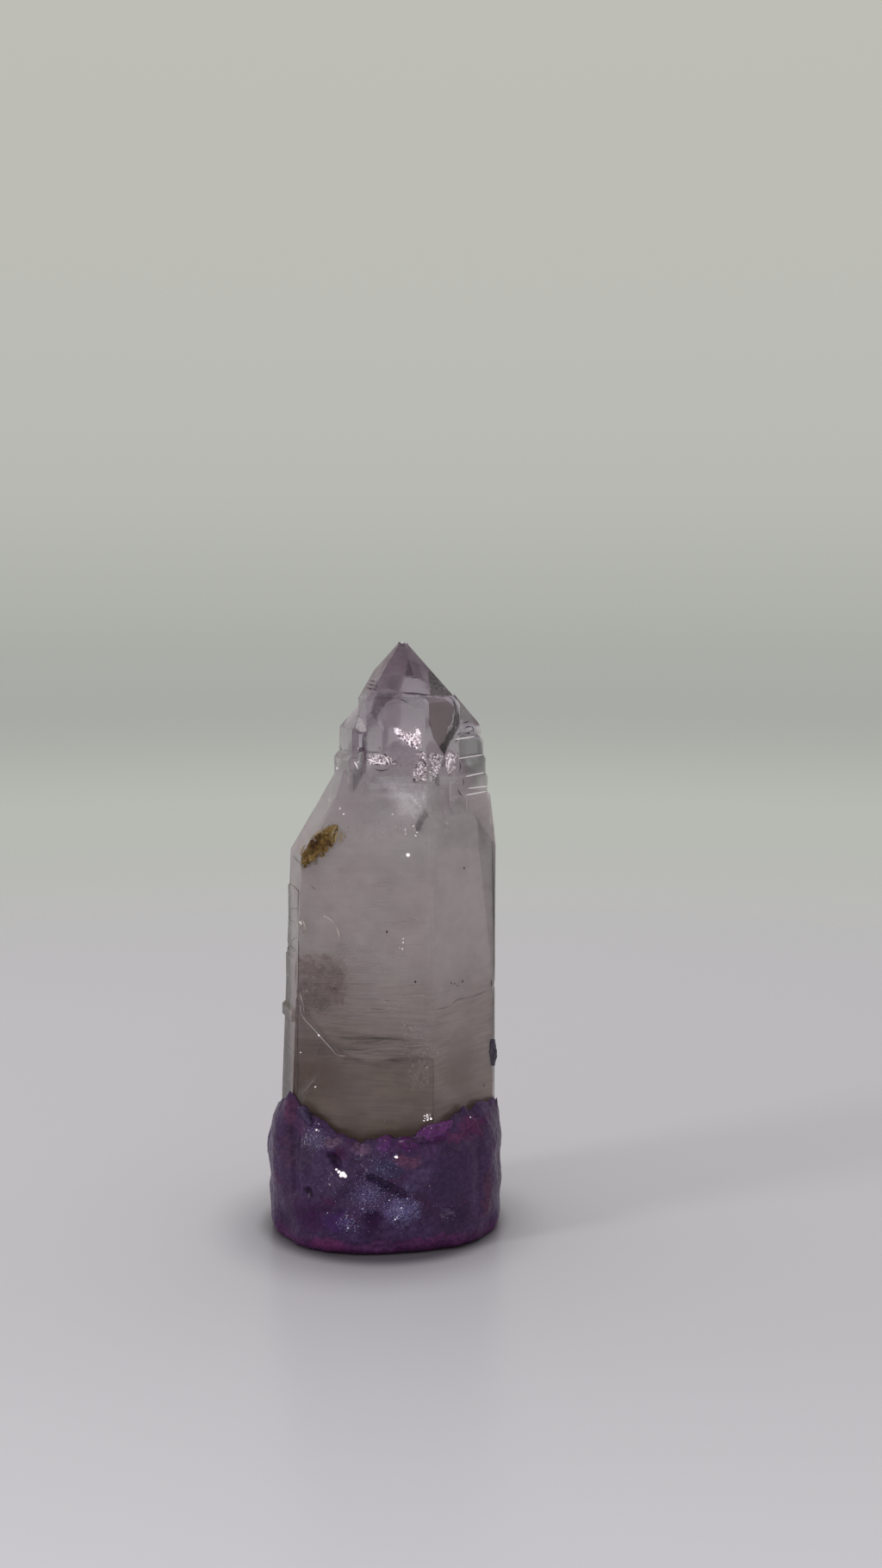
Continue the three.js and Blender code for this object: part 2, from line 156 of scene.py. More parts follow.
def pick(*objects):
    """Only these objects are selected, and the last one is active."""
    if bpy.context.object and bpy.context.object.mode != "OBJECT":
        bpy.ops.object.mode_set(mode="OBJECT")
    bpy.ops.object.select_all(action="DESELECT")
    for obj in objects:
        obj.select_set(True)
        bpy.context.view_layer.objects.active = obj


def edit(piece):
    """Opens a piece in edit mode with all of it selected."""
    pick(piece)
    bpy.ops.object.mode_set(mode="EDIT")
    bpy.ops.mesh.select_all(action="SELECT")


def edit_where(piece, wanted):
    """Opens a piece in edit mode with the points selected whose place is wanted."""
    edit(piece)
    bpy.ops.mesh.select_all(action="DESELECT")
    bpy.ops.object.mode_set(mode="OBJECT")
    for vertex in piece.data.vertices:
        vertex.select = wanted(vertex.co)
    bpy.ops.object.mode_set(mode="EDIT")


def close_edit():
    """Back to object mode."""
    bpy.ops.object.mode_set(mode="OBJECT")


def finish_with(piece, kind, **settings):
    """Adds a modifier, sets it and applies it."""
    pick(piece)
    modifier = piece.modifiers.new(kind.title(), kind)
    for name, value in settings.items():
        setattr(modifier, name, value)
    bpy.ops.object.modifier_apply(modifier=modifier.name)


def apply_place(piece):
    """Puts a piece's place, turn and size into its mesh."""
    pick(piece)
    bpy.ops.object.transform_apply(location=True, rotation=True, scale=True)


def merged_copy(node, name):
    """A copy of a node of the construction model, with its loose triangles merged."""
    pick(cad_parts[node])
    bpy.ops.object.duplicate()
    piece = bpy.context.object
    piece.name = name
    for key in list(piece.keys()):
        del piece[key]
    piece.parent = None
    piece.data.materials.clear()
    edit(piece)
    bpy.ops.mesh.remove_doubles(threshold=0.001 * MM)
    bpy.ops.mesh.customdata_custom_splitnormals_clear()
    close_edit()
    return piece


# Ways of making materials

# The size of the lumps along ragged edges, in millimetres
RAGGED_LUMPS = 0.5


class Shading:
    """A material's nodes, with short ways to add to them."""

    def __init__(self, name):
        self.material = bpy.data.materials.new(name)
        self.material.use_nodes = True
        self.nodes = self.material.node_tree.nodes
        self.links = self.material.node_tree.links
        self.shader = self.nodes["Principled BSDF"]
        self.place = self.nodes.new("ShaderNodeTexCoord").outputs["Object"]

    def plug(self, socket, value):
        """Links an output to a socket, or sets a plain number or colour on it."""
        if isinstance(value, bpy.types.NodeSocket):
            self.links.new(value, socket)
        elif isinstance(value, tuple) and len(value) == 3 and socket.type == "RGBA":
            socket.default_value = (*value, 1)
        else:
            socket.default_value = value

    def surface(self, **values):
        """Sets the shader's sockets; an underscore in a name stands for a space."""
        for name, value in values.items():
            self.plug(self.shader.inputs[name.replace("_", " ")], value)

    def math(self, operation, first, second=0, clamp=False):
        """One sum on two numbers or outputs."""
        node = self.nodes.new("ShaderNodeMath")
        node.operation = operation
        node.use_clamp = clamp
        self.plug(node.inputs[0], first)
        self.plug(node.inputs[1], second)
        return node.outputs["Value"]

    def span(self, value, start, end, low=0, high=1, smooth=False):
        """Maps start..end to low..high, and stops there."""
        node = self.nodes.new("ShaderNodeMapRange")
        node.interpolation_type = "SMOOTHSTEP" if smooth else "LINEAR"
        for name, number in (("From Min", start), ("From Max", end), ("To Min", low), ("To Max", high)):
            self.plug(node.inputs[name], number)
        self.plug(node.inputs["Value"], value)
        return node.outputs["Result"]

    def mix(self, factor, first, second, blend="MIX"):
        """Mixes two colours."""
        node = self.nodes.new("ShaderNodeMix")
        node.data_type = "RGBA"
        node.blend_type = blend
        self.plug(node.inputs["Factor"], factor)
        self.plug(node.inputs["A"], first)
        self.plug(node.inputs["B"], second)
        return node.outputs["Result"]

    def warped(self, size, depth):
        """The place, shifted about by a cloudy pattern, for ragged outlines; in millimetres."""
        node = self.nodes.new("ShaderNodeTexNoise")
        node.inputs["Scale"].default_value = 1 / (size * MM)
        node.inputs["Detail"].default_value = 4
        self.links.new(self.place, node.inputs["Vector"])
        shift = self.nodes.new("ShaderNodeVectorMath")
        shift.operation = "MULTIPLY_ADD"
        shift.inputs[1].default_value = (2 * depth * MM,) * 3
        shift.inputs[2].default_value = (-depth * MM,) * 3
        total = self.nodes.new("ShaderNodeVectorMath")
        self.links.new(node.outputs["Color"], shift.inputs[0])
        self.links.new(self.place, total.inputs[0])
        self.links.new(shift.outputs["Vector"], total.inputs[1])
        return total.outputs["Vector"]

    def along(self, axis):
        """The place along one axis, in metres."""
        split = self.nodes.new("ShaderNodeSeparateXYZ")
        self.links.new(self.place, split.inputs["Vector"])
        return split.outputs[axis]

    def rise(self, axis, start, end):
        """Rises smoothly from 0 to 1 between two places along an axis, in millimetres."""
        if start < end:
            return self.span(self.along(axis), start * MM, end * MM, smooth=True)
        return self.span(self.along(axis), end * MM, start * MM, 1, 0, smooth=True)

    def near(self, centre, size, edge=0.5):
        """1 inside an oval about a place, 0 outside, in millimetres; soft from a share of the way out."""
        node = self.nodes.new("ShaderNodeMapping")
        node.vector_type = "POINT"
        for axis in range(3):
            node.inputs["Scale"].default_value[axis] = 1 / (size[axis] * MM)
            node.inputs["Location"].default_value[axis] = -centre[axis] / size[axis]
        self.links.new(self.place, node.inputs["Vector"])
        length = self.nodes.new("ShaderNodeVectorMath")
        length.operation = "LENGTH"
        self.links.new(node.outputs["Vector"], length.inputs[0])
        return self.span(length.outputs["Value"], edge, 1, 1, 0, smooth=True)

    def side_of(self, direction, place):
        """How far in front of a place the surface lies in a direction, in metres."""
        node = self.nodes.new("ShaderNodeVectorMath")
        node.operation = "DOT_PRODUCT"
        node.inputs[1].default_value = direction
        self.links.new(self.place, node.inputs[0])
        return self.math("SUBTRACT", node.outputs["Value"], direction.dot(place))

    def patch(self, face, pixels, soft=0.1, ragged=0, depth=1.0):
        """1 inside an outline of pixels on a face, 0 outside; its edge is soft and may be ragged.

        The outline has no hollows. The depth is how far in from the face it still holds, in millimetres.
        """
        places = [face.at(pixel) for pixel in pixels]
        middle = sum(places, Vector()) / len(places)
        inside = self.math("ADD", self.side_of(face.normal, middle), depth * MM)
        for start, end in zip(places, places[1:] + places[:1]):
            inward = face.normal.cross(end - start).normalized()
            if inward.dot(middle - start) < 0:
                inward = -inward
            inside = self.math("MINIMUM", inside, self.side_of(inward, start))
        if ragged:
            wobble = self.span(self.cloud(RAGGED_LUMPS, 4), 0.3, 0.7, -ragged * MM, ragged * MM)
            inside = self.math("ADD", inside, wobble)
        return self.span(inside, -soft / 2 * MM, soft / 2 * MM, smooth=True)

    def stretched(self, scale, turn=(0, 0, 0)):
        """The place, turned in degrees and stretched, for a drawn-out pattern."""
        node = self.nodes.new("ShaderNodeMapping")
        node.inputs["Rotation"].default_value = [math.radians(angle) for angle in turn]
        node.inputs["Scale"].default_value = scale
        self.links.new(self.place, node.inputs["Vector"])
        return node.outputs["Vector"]

    def cloud(self, size, detail=4, place=None, bend=0, rough=0.5):
        """A cloudy pattern whose lumps are about so many millimetres across."""
        node = self.nodes.new("ShaderNodeTexNoise")
        node.inputs["Scale"].default_value = 1 / (size * MM)
        node.inputs["Detail"].default_value = detail
        node.inputs["Roughness"].default_value = rough
        node.inputs["Distortion"].default_value = bend
        self.links.new(place or self.place, node.inputs["Vector"])
        return node.outputs["Fac"]

    def grains(self, size):
        """A pattern of small cells, each with its own chance tone."""
        node = self.nodes.new("ShaderNodeTexVoronoi")
        node.inputs["Scale"].default_value = 1 / (size * MM)
        self.links.new(self.place, node.inputs["Vector"])
        return node.outputs["Color"]

    def relief(self, height, depth, strength=1, over=None):
        """A bump of this depth in millimetres, over another bump if one is given."""
        node = self.nodes.new("ShaderNodeBump")
        node.inputs["Strength"].default_value = strength
        node.inputs["Distance"].default_value = depth * MM
        self.links.new(height, node.inputs["Height"])
        if over:
            self.links.new(over, node.inputs["Normal"])
        return node.outputs["Normal"]

    def absorb(self, colour, density):
        """The inside takes up light."""
        volume = self.nodes.new("ShaderNodeVolumeAbsorption")
        volume.inputs["Color"].default_value = (*colour, 1)
        volume.inputs["Density"].default_value = density
        self.links.new(volume.outputs["Volume"], self.nodes["Material Output"].inputs["Volume"])


# Camera, floor and light

def build_camera():
    """The camera stands where the photograph was taken from."""
    data = bpy.data.cameras.new("camera")
    data.sensor_width = SENSOR_MM
    data.lens = FOCAL_PX / PHOTO_HEIGHT_PX * SENSOR_MM
    data.clip_start = 0.01
    data.clip_end = 10
    camera = bpy.data.objects.new("camera", data)
    bpy.context.scene.collection.objects.link(camera)
    camera.location = CAMERA_PLACE
    camera.rotation_euler = (math.pi / 2 - CAMERA_PITCH, 0, 0)
    bpy.context.scene.camera = camera


def build_floor():
    """A round pale floor with painted light that makes it lighter towards the camera and painted shadows
    about the foot; its edge fades into the background.
    """
    pick()
    bpy.ops.mesh.primitive_circle_add(vertices=96, radius=FLOOR_REACH * MM, fill_type="NGON")
    floor = bpy.context.object
    floor.name = "floor"
    paint = Shading("pale floor")
    solid = paint.near((0, -20, 0), (FLOOR_FADE,) * 3, 0.4)
    # Painted light: the floor gets lighter towards the camera
    tone = paint.mix(paint.rise("Y", -10, -90), FLOOR_BEHIND, FLOOR_BEFORE)
    # Painted shadows about the foot, a wide soft one and a close dark one
    for edge, (centre, size, shade) in ((0.5, WIDE_SHADE), (0.8, CLOSE_SHADE)):
        tone = paint.mix(paint.near(centre, size, edge), tone, shade)
    paint.surface(Base_Color=tone, Roughness=0.26, Specular_IOR_Level=0.3, Alpha=solid)
    floor.data.materials.append(paint.material)


def room_ramp(nodes):
    """A ramp of the room's tones, from straight down to straight up."""
    ramp = nodes.new("ShaderNodeValToRGB")
    ramp.color_ramp.interpolation = "CARDINAL"
    elements = ramp.color_ramp.elements
    while len(elements) < len(ROOM_TONES):
        elements.new(0.5)
    for element, (degrees, tone) in zip(elements, ROOM_TONES):
        element.position = (math.sin(math.radians(degrees)) + 1) / 2
        element.color = (*tone, 1)
    return ramp


def build_world():
    """Soft light all round: a grey-green wall, a pale ground, a bright ceiling and a dimmer side behind."""
    world = bpy.data.worlds.new("soft room")
    world.use_nodes = True
    bpy.context.scene.world = world
    nodes, links = world.node_tree.nodes, world.node_tree.links
    place = nodes.new("ShaderNodeTexCoord")
    split = nodes.new("ShaderNodeSeparateXYZ")
    height = nodes.new("ShaderNodeMapRange")
    height.inputs["From Min"].default_value = -1
    ramp = room_ramp(nodes)
    depth = nodes.new("ShaderNodeMapRange")
    depth.interpolation_type = "SMOOTHSTEP"
    depth.inputs["From Min"].default_value = DIM_FROM
    depth.inputs["From Max"].default_value = DIM_TO
    depth.inputs["To Min"].default_value = DIM_SIDE
    dim = nodes.new("ShaderNodeMix")
    dim.data_type = "RGBA"
    dim.blend_type = "MULTIPLY"
    dim.inputs["Factor"].default_value = 1
    links.new(place.outputs["Generated"], split.inputs["Vector"])
    links.new(split.outputs["Z"], height.inputs["Value"])
    links.new(split.outputs["Y"], depth.inputs["Value"])
    links.new(height.outputs["Result"], ramp.inputs["Fac"])
    links.new(ramp.outputs["Color"], dim.inputs["A"])
    links.new(depth.outputs["Result"], dim.inputs["B"])
    links.new(dim.outputs["Result"], nodes["Background"].inputs["Color"])


def build_lamp():
    """A soft square lamp that faces the object."""
    data = bpy.data.lights.new("lamp", "AREA")
    data.size = LAMP_SIZE
    data.energy = LAMP_POWER
    data.color = LAMP_COLOUR
    lamp = bpy.data.objects.new("lamp", data)
    bpy.context.scene.collection.objects.link(lamp)
    lamp.location = LAMP_PLACE
    lamp.rotation_euler = (LAMP_AIM - LAMP_PLACE).to_track_quat("-Z", "Y").to_euler()


# Ways of making fine detail

def wire(name, places):
    """A line of edges through these places, drawn out from one point."""
    pick()
    bpy.ops.mesh.primitive_plane_add(size=MM, location=places[0])
    piece = bpy.context.object
    piece.name = name
    apply_place(piece)
    edit(piece)
    bpy.ops.mesh.merge(type="CENTER")
    for start, end in zip(places, places[1:]):
        bpy.ops.mesh.extrude_region_move(TRANSFORM_OT_translate={"value": end - start})
    close_edit()
    return piece


def thread(name, places, width):
    """A slim rod that bends smoothly through these places and is thin at both ends."""
    piece = wire(name, places)
    bpy.ops.object.convert(target="CURVE")
    curve = piece.data
    curve.dimensions = "3D"
    curve.bevel_depth = width / 2 * MM
    curve.bevel_resolution = 1
    curve.resolution_u = 4
    curve.use_fill_caps = True
    bpy.ops.object.mode_set(mode="EDIT")
    bpy.ops.curve.select_all(action="SELECT")
    bpy.ops.curve.spline_type_set(type="BEZIER")
    bpy.ops.curve.handle_type_set(type="AUTOMATIC")
    close_edit()
    points = curve.splines[0].bezier_points
    for index, point in enumerate(points):
        point.radius = 0.25 + 0.75 * math.sin(math.pi * index / (len(points) - 1))
    bpy.ops.object.convert(target="MESH")
    return piece


def threads(name, face, inset, width, routes):
    """Slim rods along routes of pixels on a face, joined into one piece."""
    rods = [thread(name, [face.at(pixel, inset) for pixel in route], width) for route in routes]
    pick(*rods)
    if len(rods) > 1:
        bpy.ops.object.join()
    rods[-1].name = name
    return rods[-1]


def plate(name, face, inset, thickness, outline):
    """A thin flat plate inside an outline of pixels, a little way behind a face."""
    corners = [face.at(pixel, inset) for pixel in outline]
    piece = wire(name, corners + corners[:1])
    edit(piece)
    bpy.ops.mesh.remove_doubles(threshold=0.0001 * MM)
    bpy.ops.mesh.select_all(action="SELECT")
    bpy.ops.mesh.edge_face_add()
    close_edit()
    finish_with(piece, "SOLIDIFY", thickness=thickness * MM)
    edit(piece)
    bpy.ops.mesh.normals_make_consistent(inside=False)
    close_edit()
    return piece


def is_inside(place, outline):
    """Whether a flat place lies inside an outline of flat places."""
    inside = False
    for (x1, y1), (x2, y2) in zip(outline, outline[1:] + outline[:1]):
        if (y1 > place[1]) != (y2 > place[1]) and place[0] < x1 + (x2 - x1) * (place[1] - y1) / (y2 - y1):
            inside = not inside
    return inside


def sheet(name, face, inset, cell, outline, wave=0, wave_size=1.0):
    """A finely divided sheet inside an outline of pixels, behind a face, and wavy if asked."""
    corners = [face.at(pixel, inset) for pixel in outline]
    centre = sum(corners, Vector()) / len(corners)
    flat = [((corner - centre).dot(face.along), (corner - centre).dot(face.up)) for corner in corners]
    half = max(max(abs(u), abs(v)) for u, v in flat)
    steps = math.ceil(2 * half / (cell * MM))
    pick()
    bpy.ops.mesh.primitive_grid_add(x_subdivisions=steps, y_subdivisions=steps, size=2 * half,
                                    location=centre, rotation=(face.slope, 0, face.turn))
    piece = bpy.context.object
    piece.name = name
    apply_place(piece)
    edit_where(piece, lambda place: not is_inside(((place - centre).dot(face.along),
                                                   (place - centre).dot(face.up)), flat))
    bpy.ops.mesh.delete(type="VERT")
    close_edit()
    if wave:
        ruffle(piece, wave_size, wave)
    return piece


def keep_within(piece, body):
    """Cuts away the part of a sheet that would stick out of a body."""
    def is_outside(place):
        nearest, normal = body.closest_point_on_mesh(place)[1:3]
        return (place - nearest).dot(normal) > 0

    edit_where(piece, is_outside)
    bpy.ops.mesh.delete(type="VERT")
    close_edit()


def ruffle(piece, size, depth):
    """Moves a surface in and out by a cloudy pattern, in millimetres."""
    pattern = bpy.data.textures.new(piece.name, "CLOUDS")
    pattern.noise_scale = size * MM
    finish_with(piece, "DISPLACE", texture=pattern, texture_coords="LOCAL", strength=depth * MM,
                mid_level=0.5)


def flake(name, thickness, corners=6, narrow=1):
    """A flat plate one millimetre long, a little smaller on its upper side, to be strewn."""
    pick()
    bpy.ops.mesh.primitive_circle_add(vertices=corners, radius=0.5 * MM, fill_type="NGON")
    shape = bpy.context.object
    shape.name = name
    edit(shape)
    bpy.ops.transform.resize(value=(1, narrow, 1))
    bpy.ops.mesh.extrude_region_move(TRANSFORM_OT_translate={"value": (0, 0, thickness * MM)})
    bpy.ops.transform.resize(value=(0.75, 0.6, 1))
    bpy.ops.mesh.select_all(action="SELECT")
    bpy.ops.mesh.normals_make_consistent(inside=False)
    close_edit()
    return shape


def strew(ground, shape, sizes, seed, per_mm2=0, tilt=180, drift=0, fade=None):
    """Strews copies of a shape over a surface, or sets one on each of its points, as one mesh of its own.

    A fade, which is a place and a distance, thins them out away from that place.
    """
    group = bpy.data.node_groups.new(ground.name, "GeometryNodeTree")
    for end in ("INPUT", "OUTPUT"):
        group.interface.new_socket("Geometry", in_out=end, socket_type="NodeSocketGeometry")
    nodes, links = group.nodes, group.links
    places = nodes.new("NodeGroupInput").outputs["Geometry"]
    spin = chance(group, -math.radians(tilt), math.radians(tilt), seed, vector=True)
    if per_mm2:
        places, spin = spread_over(group, places, spin, seed, per_mm2, fade)
    if drift:
        move = nodes.new("GeometryNodeSetPosition")
        links.new(places, move.inputs["Geometry"])
        links.new(chance(group, -drift * MM, drift * MM, seed + 1, vector=True), move.inputs["Offset"])
        places = move.outputs["Geometry"]
    model = nodes.new("GeometryNodeObjectInfo")
    model.inputs["Object"].default_value = shape
    put = nodes.new("GeometryNodeInstanceOnPoints")
    real = nodes.new("GeometryNodeRealizeInstances")
    links.new(places, put.inputs["Points"])
    links.new(model.outputs["Geometry"], put.inputs["Instance"])
    links.new(spin, put.inputs["Rotation"])
    links.new(chance(group, *sizes, seed + 2), put.inputs["Scale"])
    links.new(put.outputs["Instances"], real.inputs["Geometry"])
    links.new(real.outputs["Geometry"], nodes.new("NodeGroupOutput").inputs["Geometry"])
    finish_with(ground, "NODES", node_group=group)


def spread_over(group, ground, spin, seed, per_mm2, fade):
    """Chance points on a surface, and their turns: the surface's own, leaning by the spin."""
    nodes, links = group.nodes, group.links
    spread = nodes.new("GeometryNodeDistributePointsOnFaces")
    spread.inputs["Density"].default_value = per_mm2 / MM ** 2
    spread.inputs["Seed"].default_value = seed
    if fade:
        links.new(thinning(group, per_mm2, *fade), spread.inputs["Density"])
    lean = nodes.new("FunctionNodeRotateRotation")
    lean.rotation_space = "LOCAL"
    links.new(ground, spread.inputs["Mesh"])
    links.new(spread.outputs["Rotation"], lean.inputs["Rotation"])
    links.new(spin, lean.inputs["Rotate By"])
    return spread.outputs["Points"], lean.outputs["Rotation"]


def thinning(group, per_mm2, middle, reach):
    """A crowding that is full about a middle and falls to nothing at a reach from it, in metres."""
    nodes, links = group.nodes, group.links
    here = nodes.new("GeometryNodeInputPosition")
    away = nodes.new("ShaderNodeVectorMath")
    away.operation = "DISTANCE"
    away.inputs[1].default_value = middle
    thin = nodes.new("ShaderNodeMapRange")
    thin.inputs["From Min"].default_value = 0.2 * reach
    thin.inputs["From Max"].default_value = reach
    thin.inputs["To Min"].default_value = per_mm2 / MM ** 2
    thin.inputs["To Max"].default_value = 0
    links.new(here.outputs["Position"], away.inputs[0])
    links.new(away.outputs["Value"], thin.inputs["Value"])
    return thin.outputs["Result"]


def chance(group, low, high, seed, vector=False):
    """A chance number, or three, between two bounds."""
    node = group.nodes.new("FunctionNodeRandomValue")
    node.data_type = "FLOAT_VECTOR" if vector else "FLOAT"
    first = 0 if vector else 2
    node.inputs[first].default_value = (low,) * 3 if vector else low
    node.inputs[first + 1].default_value = (high,) * 3 if vector else high
    node.inputs["Seed"].default_value = seed
    return node.outputs[0 if vector else 1]


def dress(piece, material, slot, *replaced):
    """Gives a finished piece its material and the body that it rides on; the slot is not used."""
    piece.data.materials.clear()
    piece.data.materials.append(material)
    if replaced:
        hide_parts(*replaced)
    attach(piece, "root")


# Crystal, with its outlines in pixels of the photograph

# The head's light pane is painted light; its dark panel, its kite and the right wing's side and low part
# are painted shade
LIGHT_PANE = [(470, 785), (495, 784), (499, 805), (485, 804.5), (462, 801.5)]
DARK_PANEL = [(474, 767), (488, 765), (497, 776), (494.7, 784), (470, 785)]
KITE = [(498, 809), (518, 811), (527.5, 821), (525.5, 837), (516.5, 876), (503.6, 858), (498, 839)]
ROUGH_TIP = [(497, 776), (503, 773), (530, 800), (533, 809), (500, 808)]
WING_SIDE = [(530, 862), (538, 850), (553, 848), (560, 862), (562, 884), (533, 886)]
RIPPLES = [(527, 845), (540, 838), (552, 842), (556, 856), (530, 858)]
CLOUDY_LEDGE = [(397, 844), (408, 822), (430, 800), (440, 812), (424, 846)]
BROWN_BLOCK = [(344, 1112), (370, 1110), (397, 1113), (402, 1140), (398, 1164), (376, 1178), (344, 1176)]
WING_LOW = [(533, 888), (561, 881), (565, 914), (538, 922)]
RIGHT_SHOULDER = [(507, 932), (540, 926), (568, 950), (568, 984), (507, 984)]
SHOULDER = [(432, 911), (472, 917), (499, 924), (486, 945), (474, 961), (466, 944), (434, 931)]
WING_SLOPE = (547, 836)
LEFT_SLOPE = (410, 832)

# Tints of the crystal's surface, from the prism up to the point; a pair is mixed by a cloudy pattern
PRISM_TINT = (0.86, 0.82, 0.84)
NECK_TINT = (0.93, 0.91, 0.94)
HEAD_TINT = (0.91, 0.86, 0.92)
TIP_TINTS = ((0.48, 0.37, 0.46), (0.78, 0.67, 0.75))
ROUGH_TINTS = ((0.10, 0.073, 0.077), (0.43, 0.375, 0.37))
SIDE_TINTS = ((0.09, 0.085, 0.075), (0.33, 0.315, 0.295))
DRIFT_TINTS = ((0.96, 1, 0.95), (1, 0.97, 0.98))
RIGHT_TINT = (0.97, 0.93, 0.95)
BROWN_TINT = (0.60, 0.50, 0.49)
DULL_TINT = (0.50, 0.46, 0.45)
CLEAR_TINT = (1, 0.98, 0.98)

# Heights between which the surface changes, and the same to the left, right and front, in millimetres
TO_NECK = (40, 50)
TO_HEAD = (50, 56)
TO_TIP = (59.2, 60.2)
TO_PRISM = (52, 48)
TO_GROWTH_LINES = (59, 57)
TO_LEFT = (-9.9, -10.5)
TO_RIGHT = (4.5, 7)
TO_FRONT = (-1.2, -1.9)

# Tinted patches: face, outline, softness, raggedness and depth in millimetres, tint; those of the head are
# painted light and shade
HEAD_PATCHES = [
    # Painted light in the point
    (TIP_FRONT, LIGHT_PANE, 0.08, 0.06, 1, (0.73, 0.67, 0.74)),
    # Painted shade: the dark panel, the kite and the right wing's side and low part
    (TIP_FRONT, DARK_PANEL, 0.3, 0.15, 1, (0.19, 0.115, 0.18)),
    (HEAD_RIGHT, KITE, 0.05, 0, 1, (0.26, 0.195, 0.21)),
    (RIGHT_WING, WING_SIDE, 0.6, 0, 1, (0.30, 0.29, 0.31)),
    (RIGHT_WING, WING_LOW, 1.0, 0, 2, (0.30, 0.29, 0.31)),
]
PRISM_PATCHES = [
    (FRONT, SHOULDER, 1.6, 0.2, 1, (1.0, 0.98, 1.0)),
    (FRONT_RIGHT, RIGHT_SHOULDER, 2.0, 0.4, 1, (0.78, 0.76, 0.77)),
]

# How rough the surface is, the size of the dull spot on the wing's slope, and the weak purple inside
PRISM_FROST = 0.24
NECK_FROST = 0.16
HEAD_FROST = 0.05
ETCHED_FROST = 0.22
SLOPE_FROST = 0.35
SLOPE_SPOT = (2.2, 2.2, 2.0)
PURPLE = (0.64, 0.55, 0.64)
PURPLE_DENSITY = 20


def patched(paint, tint, patches):
    """Lays patches of other tints over a tint, one after another."""
    for face, outline, soft, ragged, depth, other in patches:
        tint = paint.mix(paint.patch(face, outline, soft, ragged, depth), tint, other)
    return tint


def rough_tip(paint):
    """Where the rough face at the right of the point is."""
    return paint.patch(TIP_RIGHT, ROUGH_TIP, 0.3, 0.2)


def head_tint(paint):
    """Mauve-grey, getting paler and then purple upwards, with the head's panes of painted light and shade
    and its mottled tip.
    """
    tint = paint.mix(paint.rise("Z", *TO_NECK), PRISM_TINT, NECK_TINT)
    tint = paint.mix(paint.rise("Z", *TO_HEAD), tint, HEAD_TINT)
    tip = paint.math("MULTIPLY", paint.rise("Z", *TO_TIP), paint.rise("Y", *TO_FRONT))
    murk = paint.span(paint.cloud(1.2, 4, paint.stretched((0.6, 1, 1.6))), 0.35, 0.65)
    tint = paint.mix(tip, tint, paint.mix(murk, *TIP_TINTS))
    # The head's painted light and shade
    tint = patched(paint, tint, HEAD_PATCHES)
    mottle = paint.span(paint.cloud(0.35, 5), 0.42, 0.6)
    return paint.mix(rough_tip(paint), tint, paint.mix(mottle, *ROUGH_TINTS))


def prism_tint(paint, tint):
    """Lays the prism's marks over a tint: streaks at the left, drifting tones, a brown block, mottles."""
    streaks = paint.span(paint.cloud(0.5, 5, paint.stretched((1, 1, 0.06))), 0.4, 0.6)
    tint = paint.mix(paint.rise("X", *TO_LEFT), tint, paint.mix(streaks, *SIDE_TINTS))
    prism = paint.rise("Z", *TO_PRISM)
    drift = paint.span(paint.cloud(7, 3), 0.38, 0.62)
    tint = paint.mix(prism, tint, paint.mix(drift, *DRIFT_TINTS), "MULTIPLY")
    tint = paint.mix(paint.math("MULTIPLY", prism, paint.rise("X", *TO_RIGHT)), tint, RIGHT_TINT)
    tint = patched(paint, tint, PRISM_PATCHES)
    blotches = paint.span(paint.cloud(0.8, 6, rough=0.65), 0.40, 0.6, 0.1, 1)
    brown = paint.math("MULTIPLY", paint.patch(FRONT, BROWN_BLOCK, 0.5, 0.8), blotches)
    tint = paint.mix(brown, tint, BROWN_TINT)
    mottle = paint.cloud(0.9, 6, paint.stretched((0.5, 1, 1.3)), rough=0.62)
    dull = paint.math("MULTIPLY", prism, paint.span(mottle, 0.5, 0.66, 0, 0.18))
    clear = paint.math("MULTIPLY", prism, paint.span(mottle, 0.46, 0.36, 0, 0.5))
    return paint.mix(clear, paint.mix(dull, tint, DULL_TINT), CLEAR_TINT)


def etching(paint):
    """Where the head is etched: its rough tip face, the cloudy ledge and the ripples on the right wing."""
    ledge = paint.patch(LEFT_WING, CLOUDY_LEDGE, 0.6, 0.2, depth=2.5)
    ripples = paint.patch(RIGHT_WING, RIPPLES, 0.4, 0.1, depth=2)
    return paint.math("MAXIMUM", rough_tip(paint), paint.math("MAXIMUM", ledge, ripples))


def frosting(paint, crystal, etched):
    """How rough the surface is: frosted on the prism, clear on the head, dull where it is etched."""
    frost = paint.span(paint.rise("Z", *TO_NECK), 0, 1, PRISM_FROST, NECK_FROST)
    frost = paint.span(paint.rise("Z", *TO_HEAD), 0, 1, frost, HEAD_FROST)
    slope = paint.near(Facet(crystal, WING_SLOPE).point / MM, SLOPE_SPOT)
    frost = paint.math("ADD", frost, paint.span(etched, 0, 1, 0, ETCHED_FROST))
    return paint.math("ADD", frost, paint.span(slope, 0, 1, 0, SLOPE_FROST))


def growth_relief(paint, etched):
    """Fine level growth lines below the tip, and crumbs where the surface is etched."""
    lines = paint.cloud(0.5, 3, paint.stretched((0.05, 0.05, 1)))
    lines = paint.math("MULTIPLY", lines, paint.rise("Z", *TO_GROWTH_LINES))
    crumbs = paint.math("MULTIPLY", paint.cloud(0.3, 4), etched)
    return paint.relief(crumbs, 0.25, 0.8, paint.relief(lines, 0.015, 0.4))


def amethyst(crystal):
    """See-through quartz: purple and clear in the head, frosted and mauve-grey in the prism."""
    paint = Shading("amethyst")
    etched = etching(paint)
    paint.surface(Transmission_Weight=1.0, IOR=QUARTZ_IOR)
    paint.surface(Base_Color=prism_tint(paint, head_tint(paint)))
    paint.surface(Roughness=frosting(paint, crystal, etched))
    paint.surface(Normal=growth_relief(paint, etched))
    paint.absorb(PURPLE, PURPLE_DENSITY)
    return paint.material


